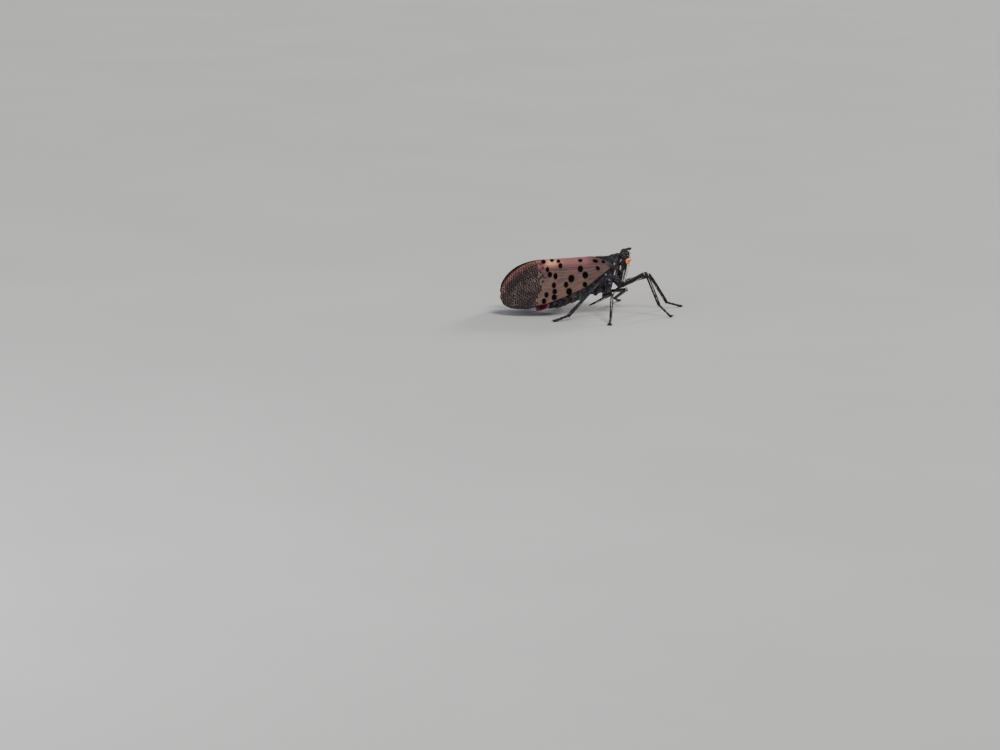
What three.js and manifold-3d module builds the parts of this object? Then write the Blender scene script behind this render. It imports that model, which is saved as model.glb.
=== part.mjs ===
// A spotted lanternfly, life size, standing on its six feet with its wings folded like a roof.
// Millimetres, +Z up. The head faces +X, the left side is +Y and the floor is at z = 0.
// The origin is under the middle of the whole insect.
import * as THREE from "three";
import { mergeVertices } from "three/addons/utils/BufferGeometryUtils.js";
import Module from "manifold-3d";

const wasm = await Module();
wasm.setup();

// Driving dimensions.
const GAP = 0.25; // left between neighbouring pieces
const WING_THICK = 0.5;
const VEIN_RISE = 0.17;
const VEIN_HALF_WIDTH = 0.22;
const VEIN_SHARES = [0.2, 0.42, 0.64, 0.87]; // of the way from the claval vein to the lower edge
const HINDWING_INSET = 0.78; // from the middle of the forewing in to the middle of the hindwing
const SIDES = { left: 1, right: -1 };

// Leg segments, from hip to knee, knee to ankle and ankle to claw.
const LEG_LENGTHS = {
  front: { femur: 5.95, tibia: 6.3, tarsus: 2.9 },
  mid: { femur: 4.8, tibia: 5.7, tarsus: 2.4 },
  hind: { femur: 5.9, tibia: 10.1, tarsus: 2.8 },
};

// Where each leg's coxa leaves the thorax and where its hip joint is, on the left side.
const LEG_ROOTS = {
  front: { root: [5.1, 1.9, 7.1], hip: [6.2, 1.75, 5.1] },
  mid: { root: [4.2, 2.45, 5.7], hip: [3.2, 2.3, 3.4] },
  hind: { root: [2.3, 2.2, 5.3], hip: [1.65, 2.15, 3.75] },
};

// Each ankle with its own side's sign, the way its toes point, in degrees from straight ahead
// and away from the body, and the way that its knee is raised.
const STANCE = {
  front: {
    right: { ankle: [13.3, -4.3, 2.1], toes: 24, knee: [0.26, -0.22, 0.95] },
    left: { ankle: [15.1, 4.0, 1.1], toes: 25, knee: [0.4, 0.06, 0.91] },
  },
  mid: {
    right: { ankle: [4.25, -11.2, 1.1], toes: 96, knee: [0.45, -0.3, 1] },
    left: { ankle: [5.6, 8.9, 1.0], toes: 70, knee: [0.9, -0.25, 0.3] },
  },
  hind: {
    right: { ankle: [-3.4, -8.8, 0.95], toes: 154, knee: [0.3, -1, 0.9] },
    left: { ankle: [-3.6, 7.5, 0.95], toes: 165, knee: [0.3, 1, 0.9] },
  },
};

const point = (x, y, z) => new THREE.Vector3(x, y, z);
const fromArray = (a) => new THREE.Vector3(...a);
const mix = (a, b, t) => a + (b - a) * t;
const smooth = (a, b, x) => THREE.MathUtils.smoothstep(x, a, b);

/** A geometry from points and triangles, turned so that its faces point outwards. */
function closedGeometry(points, triangles) {
  let volume = 0;
  for (const [a, b, c] of triangles)
    volume += points[a].dot(point(0, 0, 0).crossVectors(points[b], points[c]));
  const index = triangles.flatMap(([a, b, c]) => (volume < 0 ? [a, c, b] : [a, b, c]));
  const position = points.flatMap((p) => [p.x, p.y, p.z]);
  return new THREE.BufferGeometry()
    .setAttribute("position", new THREE.Float32BufferAttribute(position, 3))
    .setIndex(index);
}

/** A closed skin over rings of points, with a point in the middle of each end. */
function skinOver(rings) {
  const around = rings[0].length;
  const points = rings.flat();
  const triangles = [];
  for (let i = 0; i + 1 < rings.length; i++)
    for (let j = 0; j < around; j++) {
      const a = i * around + j;
      const b = i * around + ((j + 1) % around);
      triangles.push([a, b, b + around], [a, b + around, a + around]);
    }
  for (const [ring, turned] of [[rings[0], true], [rings.at(-1), false]]) {
    const centre = ring.reduce((sum, p) => sum.add(p), point(0, 0, 0)).divideScalar(around);
    const first = turned ? 0 : (rings.length - 1) * around;
    points.push(centre);
    for (let j = 0; j < around; j++) {
      const a = first + j;
      const b = first + ((j + 1) % around);
      triangles.push(turned ? [points.length - 1, b, a] : [points.length - 1, a, b]);
    }
  }
  return closedGeometry(points, triangles);
}

/** Rows of numbers read as smooth curves: the row at t, from 0 to 1. */
function rowAt(rows, t) {
  const span = Math.min(Math.floor(t * (rows.length - 1)), rows.length - 2);
  const u = t * (rows.length - 1) - span;
  const row = (i) => rows[Math.max(0, Math.min(rows.length - 1, i))];
  return rows[0].map((_, k) => {
    const [a, b, c, d] = [span - 1, span, span + 1, span + 2].map((i) => row(i)[k]);
    const bend = 2 * a - 5 * b + 4 * c - d;
    const twist = 3 * b - a - 3 * c + d;
    return 0.5 * (2 * b + (c - a) * u + bend * u * u + twist * u ** 3);
  });
}

/** A ring with half widths a and b along two directions. Squareness over 1 fills its corners. */
function ring(centre, across, up, a, b, sides, squareness = 1) {
  return Array.from({ length: sides }, (_, j) => {
    const angle = (2 * Math.PI * (j + 0.5)) / sides;
    const bend = (v) => Math.sign(v) * Math.abs(v) ** (1 / squareness);
    return centre
      .clone()
      .addScaledVector(across, a * bend(Math.cos(angle)))
      .addScaledVector(up, b * bend(Math.sin(angle)));
  });
}

/** A body piece: rows of [x, y, z, half width, half height], smoothed, grown outwards by `grow`. */
function body(rows, up, rings, sides, grow = 0, squareness = 1) {
  const across = point(0, 1, 0);
  const along = point(0, 0, 0).crossVectors(across, up).normalize();
  const ahead = Math.sign(along.dot(fromArray(rows.at(-1)).sub(fromArray(rows[0]))));
  const made = [];
  for (let i = 0; i <= rings; i++) {
    const [x, y, z, a, b] = rowAt(rows, i / rings);
    const end = i === 0 ? -1 : i === rings ? 1 : 0;
    const centre = point(x, y, z).addScaledVector(along, end * ahead * grow);
    made.push(ring(centre, across, up, a + grow, b + grow, sides, squareness));
  }
  return skinOver(made);
}

/** A straight limb between two points, from rows of [share of the way, half width, half depth]. */
function limb(from, to, profile, sides, side = point(0, 1, 0), grow = 0, squareness = 1.25) {
  const way = to.clone().sub(from);
  const up = point(0, 0, 0).crossVectors(way, side).normalize();
  const across = point(0, 0, 0).crossVectors(up, way).normalize();
  const last = profile.length - 1;
  return skinOver(
    profile.map(([t, a, b], i) => {
      const end = i === 0 ? -grow : i === last ? grow : 0;
      const centre = from.clone().addScaledVector(way, t + end / way.length());
      return ring(centre, across, up, a + grow, b + grow, sides, squareness);
    }),
  );
}

/** A round tapered rod along a list of points, each with its radius. */
function rod(stops, sides) {
  const rings = stops.map(([x, y, z, radius], i) => {
    const before = fromArray(stops[Math.max(0, i - 1)]);
    const after = fromArray(stops[Math.min(stops.length - 1, i + 1)]);
    const way = after.sub(before).normalize();
    const side = Math.abs(way.y) > 0.9 ? point(0, 0, 1) : point(0, 1, 0);
    const up = point(0, 0, 0).crossVectors(way, side).normalize();
    return ring(point(x, y, z), point(0, 0, 0).crossVectors(up, way), up, radius, radius, sides);
  });
  return skinOver(rings);
}

/** An ellipsoid with half sizes along X, Y and Z. */
function ball(centre, half, around, down, grow = 0) {
  const g = new THREE.SphereGeometry(1, around, down).rotateX(Math.PI / 2);
  return g.scale(half[0] + grow, half[1] + grow, half[2] + grow).translate(...centre);
}

/** A three.js geometry as a solid that can be joined and cut. */
function solid(geometry) {
  const bare = new THREE.BufferGeometry().setAttribute("position", geometry.getAttribute("position"));
  if (geometry.index) bare.setIndex(geometry.index);
  const merged = mergeVertices(bare, 1e-4);
  const corners = merged.index.array;
  const kept = [];
  for (let i = 0; i < corners.length; i += 3) {
    const [a, b, c] = [corners[i], corners[i + 1], corners[i + 2]];
    if (a !== b && b !== c && a !== c) kept.push(a, b, c);
  }
  const vertProperties = merged.attributes.position.array;
  const triVerts = new Uint32Array(kept);
  return new wasm.Manifold(new wasm.Mesh({ numProp: 3, vertProperties, triVerts }));
}

/** Joins geometries, cuts others away, and keeps the largest closed body as a geometry. */
function shape(joined, cutters = []) {
  let made = joined.map(solid).reduce((a, b) => a.add(b));
  for (const cutter of cutters) made = made.subtract(solid(cutter));
  const largest = made.decompose().sort((a, b) => b.volume() - a.volume())[0];
  const mesh = largest.simplify(0.004).getMesh();
  const position = new Float32Array(mesh.numVert * 3);
  for (let i = 0; i < mesh.numVert; i++)
    position.set(mesh.vertProperties.subarray(i * mesh.numProp, i * mesh.numProp + 3), i * 3);
  return new THREE.BufferGeometry()
    .setAttribute("position", new THREE.BufferAttribute(position, 3))
    .setIndex(new THREE.BufferAttribute(mesh.triVerts, 1));
}

/** Mirrors left-side rows or points to the side with this sign. */
const mirrored = (rows, sign) => rows.map(([x, y, ...rest]) => [x, sign * y, ...rest]);

// Finishes.
const finish = (color, roughness, metalness = 0) =>
  new THREE.MeshStandardMaterial({ color, roughness, metalness, flatShading: true });
const FINISHES = {
  cuticle: finish(0x3b3531, 0.62),
  thorax: finish(0x5d5348, 0.7),
  abdomen: finish(0x4a463c, 0.6),
  forewing: finish(0xa48f7e, 0.58),
  hindwing: finish(0xa02820, 0.6),
  eye: finish(0x1d1210, 0.25),
  antenna: finish(0xe07a22, 0.45),
  leg: finish(0x322e2c, 0.5),
};

const insect = new THREE.Group();

/** Adds one named piece. */
function piece(name, geometry, material) {
  const mesh = new THREE.Mesh(geometry, material);
  mesh.name = name;
  insect.add(mesh);
}

// Wings. A forewing lies between its upper edge, along the back, and its lower edge.
// Both edges are on the left side and run from the shoulder to the wing's rounded end.
const UPPER_EDGE = [
  [4.5, 2.45, 9.35], [2.5, 1.4, 10.05], [0.2, 0.2, 10.2], [-3.4, 0.16, 9.95], [-7.0, 0.18, 9.75],
  [-10.0, 0.35, 9.4], [-12.5, 1.0, 8.35], [-14.4, 1.7, 6.75], [-15.5, 2.45, 4.95], [-15.8, 2.95, 3.75],
];
const LOWER_EDGE = [
  [4.3, 3.35, 8.75], [2.5, 4.35, 7.45], [0.2, 5.0, 5.75], [-3.0, 5.4, 4.25], [-6.4, 5.5, 2.85],
  [-9.2, 5.3, 1.9], [-11.8, 4.85, 1.42], [-13.8, 4.25, 1.5], [-15.1, 3.7, 2.0], [-15.65, 3.35, 2.75],
];
const ROOF_OUT = 0.74; // how far out and how far down the roof's bend lies
const ROOF_DOWN = 0.3;

/** The middle of the forewing at s along it and t across it, from the upper edge to the lower. */
function wingPoint(s, t, sign) {
  const [ux, uy, uz] = rowAt(UPPER_EDGE, s);
  const [lx, ly, lz] = rowAt(LOWER_EDGE, s);
  const [bx, by, bz] = [mix(ux, lx, 0.5), mix(uy, ly, ROOF_OUT), mix(uz, lz, ROOF_DOWN)];
  const curve = (a, b, c) => (1 - t) * (1 - t) * a + 2 * t * (1 - t) * b + t * t * c;
  return point(curve(ux, bx, lx), sign * curve(uy, by, ly), curve(uz, bz, lz));
}

/** The wing's outward direction at s and t. */
function wingNormal(s, t, sign) {
  const step = 0.01;
  const [s0, s1] = [Math.max(0, s - step), Math.min(1, s + step)];
  const along = wingPoint(s1, t, sign).sub(wingPoint(s0, t, sign));
  const across = wingPoint(s, t + step, sign).sub(wingPoint(s, t - step, sign));
  return point(0, 0, 0).crossVectors(along, across).multiplyScalar(-sign).normalize();
}

/** Where the vein between the wing's back part and its main part crosses, at s. */
const claval = (s) => mix(0.5, 0.13, smooth(0, 0.62, s));

/** Lines across the wing at s as [t, rise]: each main vein is a ridge between two lines. */
function veinLines(s) {
  const chord = wingPoint(s, 1, 1).distanceTo(wingPoint(s, 0, 1));
  const half = Math.min(VEIN_HALF_WIDTH / chord, 0.04);
  const rise = VEIN_RISE * (1 - smooth(0.75, 0.98, s));
  const back = claval(s);
  const veins = [back, ...VEIN_SHARES.map((share) => mix(back, 1, share))];
  const lines = veins.flatMap((t) => [[t - half, 0], [t, rise], [t + half, 0]]);
  return [[0, 0], [back / 2, 0], ...lines, [1, 0]];
}

/** A thin closed sheet from a grid of [middle, outward, rise], split alike on both faces. */
function sheet(grid, inset, thick) {
  const [rows, columns] = [grid.length, grid[0].length];
  const face = (depth, raised) =>
    grid.flat().map(([p, n, rise]) => p.clone().addScaledVector(n, depth - inset + raised * rise));
  const points = [...face(thick / 2, 1), ...face(-thick / 2, 0)];
  const under = rows * columns;
  const at = (i, j) => i * columns + j;
  const triangles = [];
  for (let i = 0; i + 1 < rows; i++)
    for (let j = 0; j + 1 < columns; j++) {
      const [a, b, c, d] = [at(i, j), at(i, j + 1), at(i + 1, j), at(i + 1, j + 1)];
      for (const [p, q, r] of [[a, b, d], [a, d, c]])
        triangles.push([p, q, r], [p + under, r + under, q + under]);
    }
  const rim = [];
  for (let j = 0; j < columns; j++) rim.push(at(0, j));
  for (let i = 1; i < rows; i++) rim.push(at(i, columns - 1));
  for (let j = columns - 2; j >= 0; j--) rim.push(at(rows - 1, j));
  for (let i = rows - 2; i > 0; i--) rim.push(at(i, 0));
  rim.forEach((a, k) => {
    const b = rim[(k + 1) % rim.length];
    triangles.push([a, b + under, b], [a, a + under, b + under]);
  });
  return closedGeometry(points, triangles);
}

/** Steps along a wing, closer together towards its rounded end. */
function stationsAlong(first, last, count) {
  const crowded = (share) => 0.55 * share + 0.45 * Math.sin((Math.PI / 2) * share);
  return Array.from({ length: count + 1 }, (_, i) => mix(first, last, crowded(i / count)));
}

/** The forewing, or with `grow` the plain space that it and a gap round it take up. */
function forewing(sign, grow = 0) {
  const spaceLines = Array.from({ length: 9 }, (_, j) => [mix(-0.04, 1.04, j / 8), VEIN_RISE]);
  const lines = (s) => (grow ? spaceLines : veinLines(s));
  const grid = stationsAlong(0, 1, grow ? 22 : 34).map((s) =>
    lines(s).map(([t, rise]) => [wingPoint(s, t, sign), wingNormal(s, t, sign), rise]),
  );
  return sheet(grid, 0, WING_THICK + 2 * grow);
}

/** The hindwing lies inside the forewing, and shows as a strip below it. */
function hindwing(sign, grow = 0) {
  const columns = 6;
  const grid = stationsAlong(0.17, 0.9, 20).map((s) => {
    const below = 0.1 * smooth(0.25, 0.45, s) * (1 - smooth(0.52, 0.74, s));
    const top = mix(0.42, 0.5, s);
    const bottom = 0.97 + below - 0.25 * smooth(0.66, 0.9, s);
    return Array.from({ length: columns + 1 }, (_, j) => {
      const t = mix(top, bottom, j / columns);
      return [wingPoint(s, t, sign), wingNormal(s, Math.min(t, 1), sign), j % 2 ? 0.05 : 0];
    });
  });
  return sheet(grid, HINDWING_INSET, WING_THICK + 2 * grow);
}

// Head: rows from the tip of the face up to the small upturned snout.
const HEAD_ROWS = [
  [6.2, 0, 4.75, 0.36, 0.32], [6.42, 0, 5.7, 0.62, 0.57], [6.6, 0, 6.9, 1.0, 0.86],
  [6.71, 0, 8.1, 1.35, 1.09], [6.86, 0, 9.3, 1.5, 1.24], [7.03, 0, 10.4, 1.45, 1.26],
  [7.3, 0, 11.2, 1.15, 1.08], [7.68, 0, 11.75, 0.76, 0.7], [8.0, 0, 12.05, 0.42, 0.36],
];
const EYE = { centre: [7.12, 1.46, 10.92], half: [0.7, 0.5, 0.66] };
const ANTENNA = { base: [7.3, 1.2, 9.9], ball: [7.62, 1.95, 9.78], half: [0.46, 0.42, 0.56] };
const BRISTLE = [[0, 0, 0, 0.25], [0.4, 1.1, 0.35, 0.13], [0.75, 2.0, 0.85, 0.07]]; // from the ball
const RIDGE_RADIUS = 0.21;
const SIDE_RIDGE = { turns: [62, 57, 55, 55, 60], rows: [0.16, 0.34, 0.52, 0.7, 0.88] };
const MIDDLE_RIDGE = { turns: [90, 90, 90], rows: [0.6, 0.78, 0.97] };
const HEAD_SQUARENESS = 1.15;
const head = (grow = 0) => body(HEAD_ROWS, point(1, 0, 0), 16, 16, grow, HEAD_SQUARENESS);

/** A ridge on the face. Each point has a row of the head and a turn round it, 90 being ahead. */
function faceRidge({ turns, rows }, sign) {
  const bend = (v) => Math.sign(v) * Math.abs(v) ** (1 / HEAD_SQUARENESS);
  const stops = turns.map((degrees, i) => {
    const [x, , z, a, b] = rowAt(HEAD_ROWS, rows[i]);
    const angle = THREE.MathUtils.degToRad(degrees);
    return [x + b * bend(Math.sin(angle)), sign * a * bend(Math.cos(angle)), z, RIDGE_RADIUS];
  });
  return rod(stops, 6);
}

/** An orange antenna: a collar on the cheek, a warty ball and a fine bristle. */
function antenna(sign) {
  const [bx, by, bz] = ANTENNA.base;
  const [cx, cy, cz] = ANTENNA.ball;
  const collar = rod(mirrored([[bx, by, bz, 0.3], [cx, cy - 0.2, cz, 0.27]], sign), 8);
  const bristleStops = BRISTLE.map(([x, y, z, radius]) => [cx + x, cy + y, cz + z, radius]);
  const bristle = rod(mirrored(bristleStops, sign), 6);
  return [collar, ball([cx, sign * cy, cz], ANTENNA.half, 12, 8), bristle];
}

// Thorax.
const COLLAR_ROWS = [
  [5.95, 0, 9.25, 1.7, 1.85], [5.6, 0, 8.8, 2.25, 2.2], [5.05, 0, 8.25, 2.6, 2.6],
  [4.4, 0, 7.8, 2.75, 2.9],
];
const THORAX_ROWS = [
  [4.15, 0, 7.6, 2.8, 3.0], [3.2, 0, 7.2, 3.0, 3.3], [2.1, 0, 6.95, 3.05, 3.5],
  [1.1, 0, 6.85, 2.95, 3.5], [0.1, 0, 6.7, 2.75, 3.35],
];
const SHOULDER_SCALE = { centre: [4.75, 3.05, 9.05], half: [0.62, 0.42, 0.62] };
const collar = (grow = 0) => body(COLLAR_ROWS, point(0, 0, 1), 6, 22, grow);
const thorax = (grow = 0) => body(THORAX_ROWS, point(0, 0, 1), 8, 22, grow);

// Abdomen: eight rings, each a little proud of the next.
const ABDOMEN_ROWS = [
  [-0.1, 0, 5.75, 2.75, 2.85], [-1.6, 0, 5.15, 3.15, 3.05], [-3.2, 0, 4.6, 3.3, 3.05],
  [-4.8, 0, 4.0, 3.2, 3.05], [-6.4, 0, 3.35, 2.75, 2.6], [-8.0, 0, 2.75, 2.0, 1.95],
  [-9.3, 0, 2.4, 1.2, 1.25], [-10.1, 0, 2.25, 0.45, 0.5],
];
const ABDOMEN_RINGS = 8;
const RING_STEP = 0.13;

function abdomen() {
  const rings = [];
  for (let k = 0; k < ABDOMEN_RINGS; k++)
    for (const [share, proud] of [[0, -RING_STEP / 2], [0.45, 0], [0.9, RING_STEP / 2]]) {
      const [x, y, z, a, b] = rowAt(ABDOMEN_ROWS, (k + share) / ABDOMEN_RINGS);
      rings.push(ring(point(x, y, z), point(0, 1, 0), point(0, 0, 1), a + proud, b + proud, 20));
    }
  const [x, y, z, a, b] = ABDOMEN_ROWS.at(-1);
  rings.push(ring(point(x, y, z), point(0, 1, 0), point(0, 0, 1), a, b, 20));
  return skinOver(rings);
}

// Beak, from under the face back between the legs.
const BEAK = [[6.05, 0, 4.45, 0.26], [4.6, 0, 3.35, 0.3], [2.6, 0, 2.25, 0.27], [0.6, 0, 1.25, 0.16]];

// Legs.
/** The knee of a leg with these lengths, raised towards `raised`. */
function kneeOf(hip, ankle, femur, tibia, raised) {
  const way = ankle.clone().sub(hip);
  const reach = way.length();
  way.normalize();
  const along = (femur ** 2 - tibia ** 2 + reach ** 2) / (2 * reach);
  const height = Math.sqrt(Math.max(0, femur ** 2 - along ** 2));
  const up = raised.clone().addScaledVector(way, -raised.dot(way)).normalize();
  return hip.clone().addScaledVector(way, along).addScaledVector(up, height);
}

const FLOOR = new THREE.BoxGeometry(60, 60, 4).translate(0, 0, -2);
const COXA_PROFILE = [[0, 0.75, 0.75], [0.55, 0.66, 0.68], [0.85, 0.46, 0.48], [1, 0.33, 0.35]];
const PROFILES = {
  front: {
    femur: [[0, 0.27, 0.32], [0.1, 0.31, 0.42], [0.5, 0.3, 0.44], [0.9, 0.31, 0.46], [1, 0.24, 0.34]],
    tibia: [[0, 0.25, 0.33], [0.12, 0.25, 0.31], [0.85, 0.25, 0.29], [1, 0.28, 0.32]],
  },
  mid: {
    femur: [[0, 0.27, 0.3], [0.1, 0.3, 0.38], [0.5, 0.29, 0.38], [0.9, 0.3, 0.41], [1, 0.24, 0.32]],
    tibia: [[0, 0.25, 0.3], [0.12, 0.25, 0.28], [0.85, 0.25, 0.26], [1, 0.28, 0.3]],
  },
  hind: {
    femur: [[0, 0.28, 0.32], [0.12, 0.33, 0.44], [0.5, 0.32, 0.45], [0.9, 0.33, 0.47], [1, 0.26, 0.36]],
    tibia: [[0, 0.26, 0.34], [0.12, 0.26, 0.3], [0.8, 0.29, 0.34], [0.95, 0.35, 0.4], [1, 0.33, 0.37]],
  },
};
const TIBIA_SPINES = [0.32, 0.46, 0.6, 0.73, 0.85]; // shares of the hind tibia's length
const SPINE_LENGTH = 0.55;
const CROWN_SPINES = 5; // at the hind tibia's end
const CLAW_LENGTH = 0.62;
const CLAW_SPREAD = 0.42;
const CLAW_HEIGHT = 0.3; // of a claw's bend above the floor
const TOE_HEIGHT = 0.22;
const PAD = { ahead: 0.18, height: 0.16, half: [0.36, 0.36, 0.24] };
const FOOT_PROFILE = [
  [0, 0.2, 0.2], [0.3, 0.25, 0.24], [0.36, 0.2, 0.2], [0.58, 0.25, 0.24], [0.64, 0.2, 0.2],
  [0.92, 0.27, 0.24], [1, 0.3, 0.2],
];

/** The spines on the outer edge and round the end of a hind tibia. */
function tibiaSpines(knee, ankle, sign) {
  const way = ankle.clone().sub(knee).normalize();
  const length = ankle.distanceTo(knee);
  const out = point(-0.25, sign * 0.8, -0.35).addScaledVector(way, 0.1).normalize();
  const spine = (root, towards, reach) => {
    const tip = root.clone().addScaledVector(towards, reach);
    return rod([[...root.toArray(), 0.2], [...tip.toArray(), 0.06]], 5);
  };
  const leaning = out.clone().addScaledVector(way, 0.75).normalize();
  const edge = TIBIA_SPINES.map((share, i) =>
    spine(knee.clone().addScaledVector(way, share * length), leaning, SPINE_LENGTH + 0.05 * i),
  );
  const turn = point(0, 0, 0).crossVectors(way, out).normalize();
  const crown = Array.from({ length: CROWN_SPINES }, (_, k) => {
    const angle = mix(-1.35, 1.35, k / (CROWN_SPINES - 1));
    const side = out.clone().multiplyScalar(Math.cos(angle)).addScaledVector(turn, Math.sin(angle));
    const root = ankle.clone().addScaledVector(way, -0.3).addScaledVector(side, 0.16);
    return spine(root, side.clone().multiplyScalar(0.5).add(way).normalize(), 0.5);
  });
  return [...edge, ...crown];
}

/** A foot: three swelling joints, a pad and two claws, flat where it stands on the floor. */
function foot(ankle, heading, length, girth) {
  const drop = ankle.z - TOE_HEIGHT;
  const reach = Math.sqrt(length ** 2 - drop ** 2);
  const toe = ankle.clone().add(point(heading.x * reach, heading.y * reach, -drop));
  const way = toe.clone().sub(ankle);
  const side = point(-heading.y, heading.x, 0);
  const joints = FOOT_PROFILE.map(([t, a, b]) => [t, a * girth, b * girth]);
  const from = ankle.clone().addScaledVector(way.clone().normalize(), GAP / 2);
  const parts = [limb(from, toe, joints, 8, side)];
  for (const turn of [-1, 1]) {
    const out = (ahead, apart) => {
      const forward = toe.clone().addScaledVector(heading, ahead * CLAW_LENGTH);
      return forward.addScaledVector(side, turn * apart * CLAW_SPREAD);
    };
    const [middle, tip] = [out(0.6, 0.8), out(1, 1)];
    const bend = [middle.x, middle.y, CLAW_HEIGHT, 0.13];
    parts.push(rod([[...toe.toArray(), 0.17], bend, [tip.x, tip.y, 0.09, 0.06]], 5));
  }
  const pad = toe.clone().addScaledVector(heading, PAD.ahead).setZ(PAD.height);
  return shape([...parts, ball(pad.toArray(), PAD.half, 10, 6)], [FLOOR]);
}

/** One leg in its four pieces, each ending half a gap from its joint. */
function leg(pair, side) {
  const sign = SIDES[side];
  const { femur, tibia, tarsus } = LEG_LENGTHS[pair];
  const stance = STANCE[pair][side];
  const root = fromArray(LEG_ROOTS[pair].root).multiply(point(1, sign, 1));
  const hip = fromArray(LEG_ROOTS[pair].hip).multiply(point(1, sign, 1));
  const ankle = fromArray(stance.ankle);
  const knee = kneeOf(hip, ankle, femur, tibia, fromArray(stance.knee));
  const turn = THREE.MathUtils.degToRad(stance.toes);
  const heading = point(Math.cos(turn), sign * Math.sin(turn), 0);

  const shortened = (a, b) => {
    const way = b.clone().sub(a).normalize().multiplyScalar(GAP / 2 + 0.02);
    return [a.clone().add(way), b.clone().sub(way)];
  };
  const [thighTop, thighEnd] = shortened(hip, knee);
  const [shinTop, shinEnd] = shortened(knee, ankle);
  const bendAxis = point(0, 0, 0).crossVectors(knee.clone().sub(hip), ankle.clone().sub(knee));
  bendAxis.normalize();
  const hipEnd = shortened(root, hip)[1];

  const thigh = (grow) => limb(thighTop, thighEnd, PROFILES[pair].femur, 8, bendAxis, grow);
  const shin = (grow) => limb(shinTop, shinEnd, PROFILES[pair].tibia, 8, bendAxis, grow);
  const spines = pair === "hind" ? tibiaSpines(shinTop, shinEnd, sign) : [];
  const name = (part) => `${part}_${pair}_${side}`;
  const coxa = limb(root, hipEnd, COXA_PROFILE, 10);
  piece(name("coxa"), shape([coxa], [thorax(GAP), collar(GAP), head(GAP), thigh(GAP)]), FINISHES.leg);
  piece(name("femur"), shape([thigh(0)], [thorax(GAP)]), FINISHES.leg);
  piece(name("tibia"), shape([shin(0), ...spines], [thigh(GAP)]), FINISHES.leg);
  piece(name("tarsus"), foot(ankle, heading, tarsus, pair === "hind" ? 1.12 : 1), FINISHES.leg);
}

// The whole insect, from the head back.
const bothSides = Object.entries(SIDES);
const eye = (sign, grow = 0) => {
  const [x, y, z] = EYE.centre;
  return ball([x, sign * y, z], EYE.half, 16, 10, grow);
};
const sideRidges = bothSides.map(([, sign]) => faceRidge(SIDE_RIDGE, sign));
const ridges = [...sideRidges, faceRidge(MIDDLE_RIDGE, 1)];
const sockets = bothSides.map(([, sign]) => eye(sign, GAP));
piece("head", shape([head(), ...ridges], sockets), FINISHES.cuticle);
for (const [side, sign] of bothSides) {
  piece(`eye_${side}`, shape([eye(sign)]), FINISHES.eye);
  piece(`antenna_${side}`, shape(antenna(sign), [head(GAP), eye(sign, GAP)]), FINISHES.antenna);
}
piece("beak", shape([rod(BEAK, 8)], [head(GAP)]), FINISHES.leg);

const wingClearances = bothSides.flatMap(([, sign]) => [forewing(sign, GAP), hindwing(sign, GAP)]);
const ridgeAlong = (from, to) => rod([[...from, 0.2], [...to, 0.16]], 6);
const collarRidge = ridgeAlong([5.7, 0, 11.0], [4.45, 0, 10.68]);
const backRidges = [-1, 0, 1].map((k) =>
  ridgeAlong([4.15, 0.75 * k, 10.5 - 0.12 * Math.abs(k)], [1.2, 0.3 * k, 10.3]),
);
piece("collar", shape([collar(), collarRidge], [head(GAP), ...wingClearances]), FINISHES.thorax);
piece("thorax", shape([thorax(), ...backRidges], [...wingClearances]), FINISHES.thorax);
piece("abdomen", shape([abdomen()], [thorax(GAP), ...wingClearances]), FINISHES.abdomen);

for (const [side, sign] of bothSides) {
  piece(`forewing_${side}`, shape([forewing(sign)]), FINISHES.forewing);
  piece(`hindwing_${side}`, shape([hindwing(sign)]), FINISHES.hindwing);
  const [x, y, z] = SHOULDER_SCALE.centre;
  const scale = ball([x, sign * y, z], SHOULDER_SCALE.half, 10, 8);
  const around = [collar(GAP), thorax(GAP), ...wingClearances];
  piece(`shoulder_scale_${side}`, shape([scale], around), FINISHES.thorax);
  for (const pair of Object.keys(LEG_LENGTHS)) leg(pair, side);
}

// Centre the insect over the origin, with its feet still at z = 0.
const bounds = new THREE.Box3().setFromObject(insect, true);
const middle = bounds.getCenter(point(0, 0, 0));
insect.position.set(-middle.x, -middle.y, 0);

export default insect;
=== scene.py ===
"""A life-size spotted lanternfly, standing on its six feet with its wings folded like a roof.

Shapes are worked out in millimetres, with the head towards +X, the left side towards +Y and the
floor at z = 0. Each finished piece is then written in metres, where the CAD model stands.
"""

import logging
import math
from dataclasses import dataclass, field
from enum import Enum
from functools import partial
from typing import Any, Callable, ClassVar, Protocol, Sequence

import bpy
import numpy as np
from mathutils import Matrix, Vector


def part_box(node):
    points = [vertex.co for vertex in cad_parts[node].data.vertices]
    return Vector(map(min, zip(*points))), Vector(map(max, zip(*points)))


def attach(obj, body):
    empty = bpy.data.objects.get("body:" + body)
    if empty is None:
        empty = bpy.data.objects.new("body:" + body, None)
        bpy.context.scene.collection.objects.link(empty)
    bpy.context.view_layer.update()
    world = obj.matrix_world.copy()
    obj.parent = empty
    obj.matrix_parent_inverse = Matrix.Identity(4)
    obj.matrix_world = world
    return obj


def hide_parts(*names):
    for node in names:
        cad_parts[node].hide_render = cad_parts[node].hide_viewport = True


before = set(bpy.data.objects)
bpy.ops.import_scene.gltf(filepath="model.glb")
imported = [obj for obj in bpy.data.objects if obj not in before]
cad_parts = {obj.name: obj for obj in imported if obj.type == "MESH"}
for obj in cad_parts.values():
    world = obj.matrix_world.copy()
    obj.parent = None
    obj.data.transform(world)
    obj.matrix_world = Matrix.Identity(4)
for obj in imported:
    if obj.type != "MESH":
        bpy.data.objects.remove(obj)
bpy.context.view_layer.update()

LOG = logging.getLogger("lanternfly")
MM = 0.001
Rows = Sequence[Sequence[float]]
Marks = Sequence[tuple[Rows, float, float, float]]
Colour = tuple[float, float, float]


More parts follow.
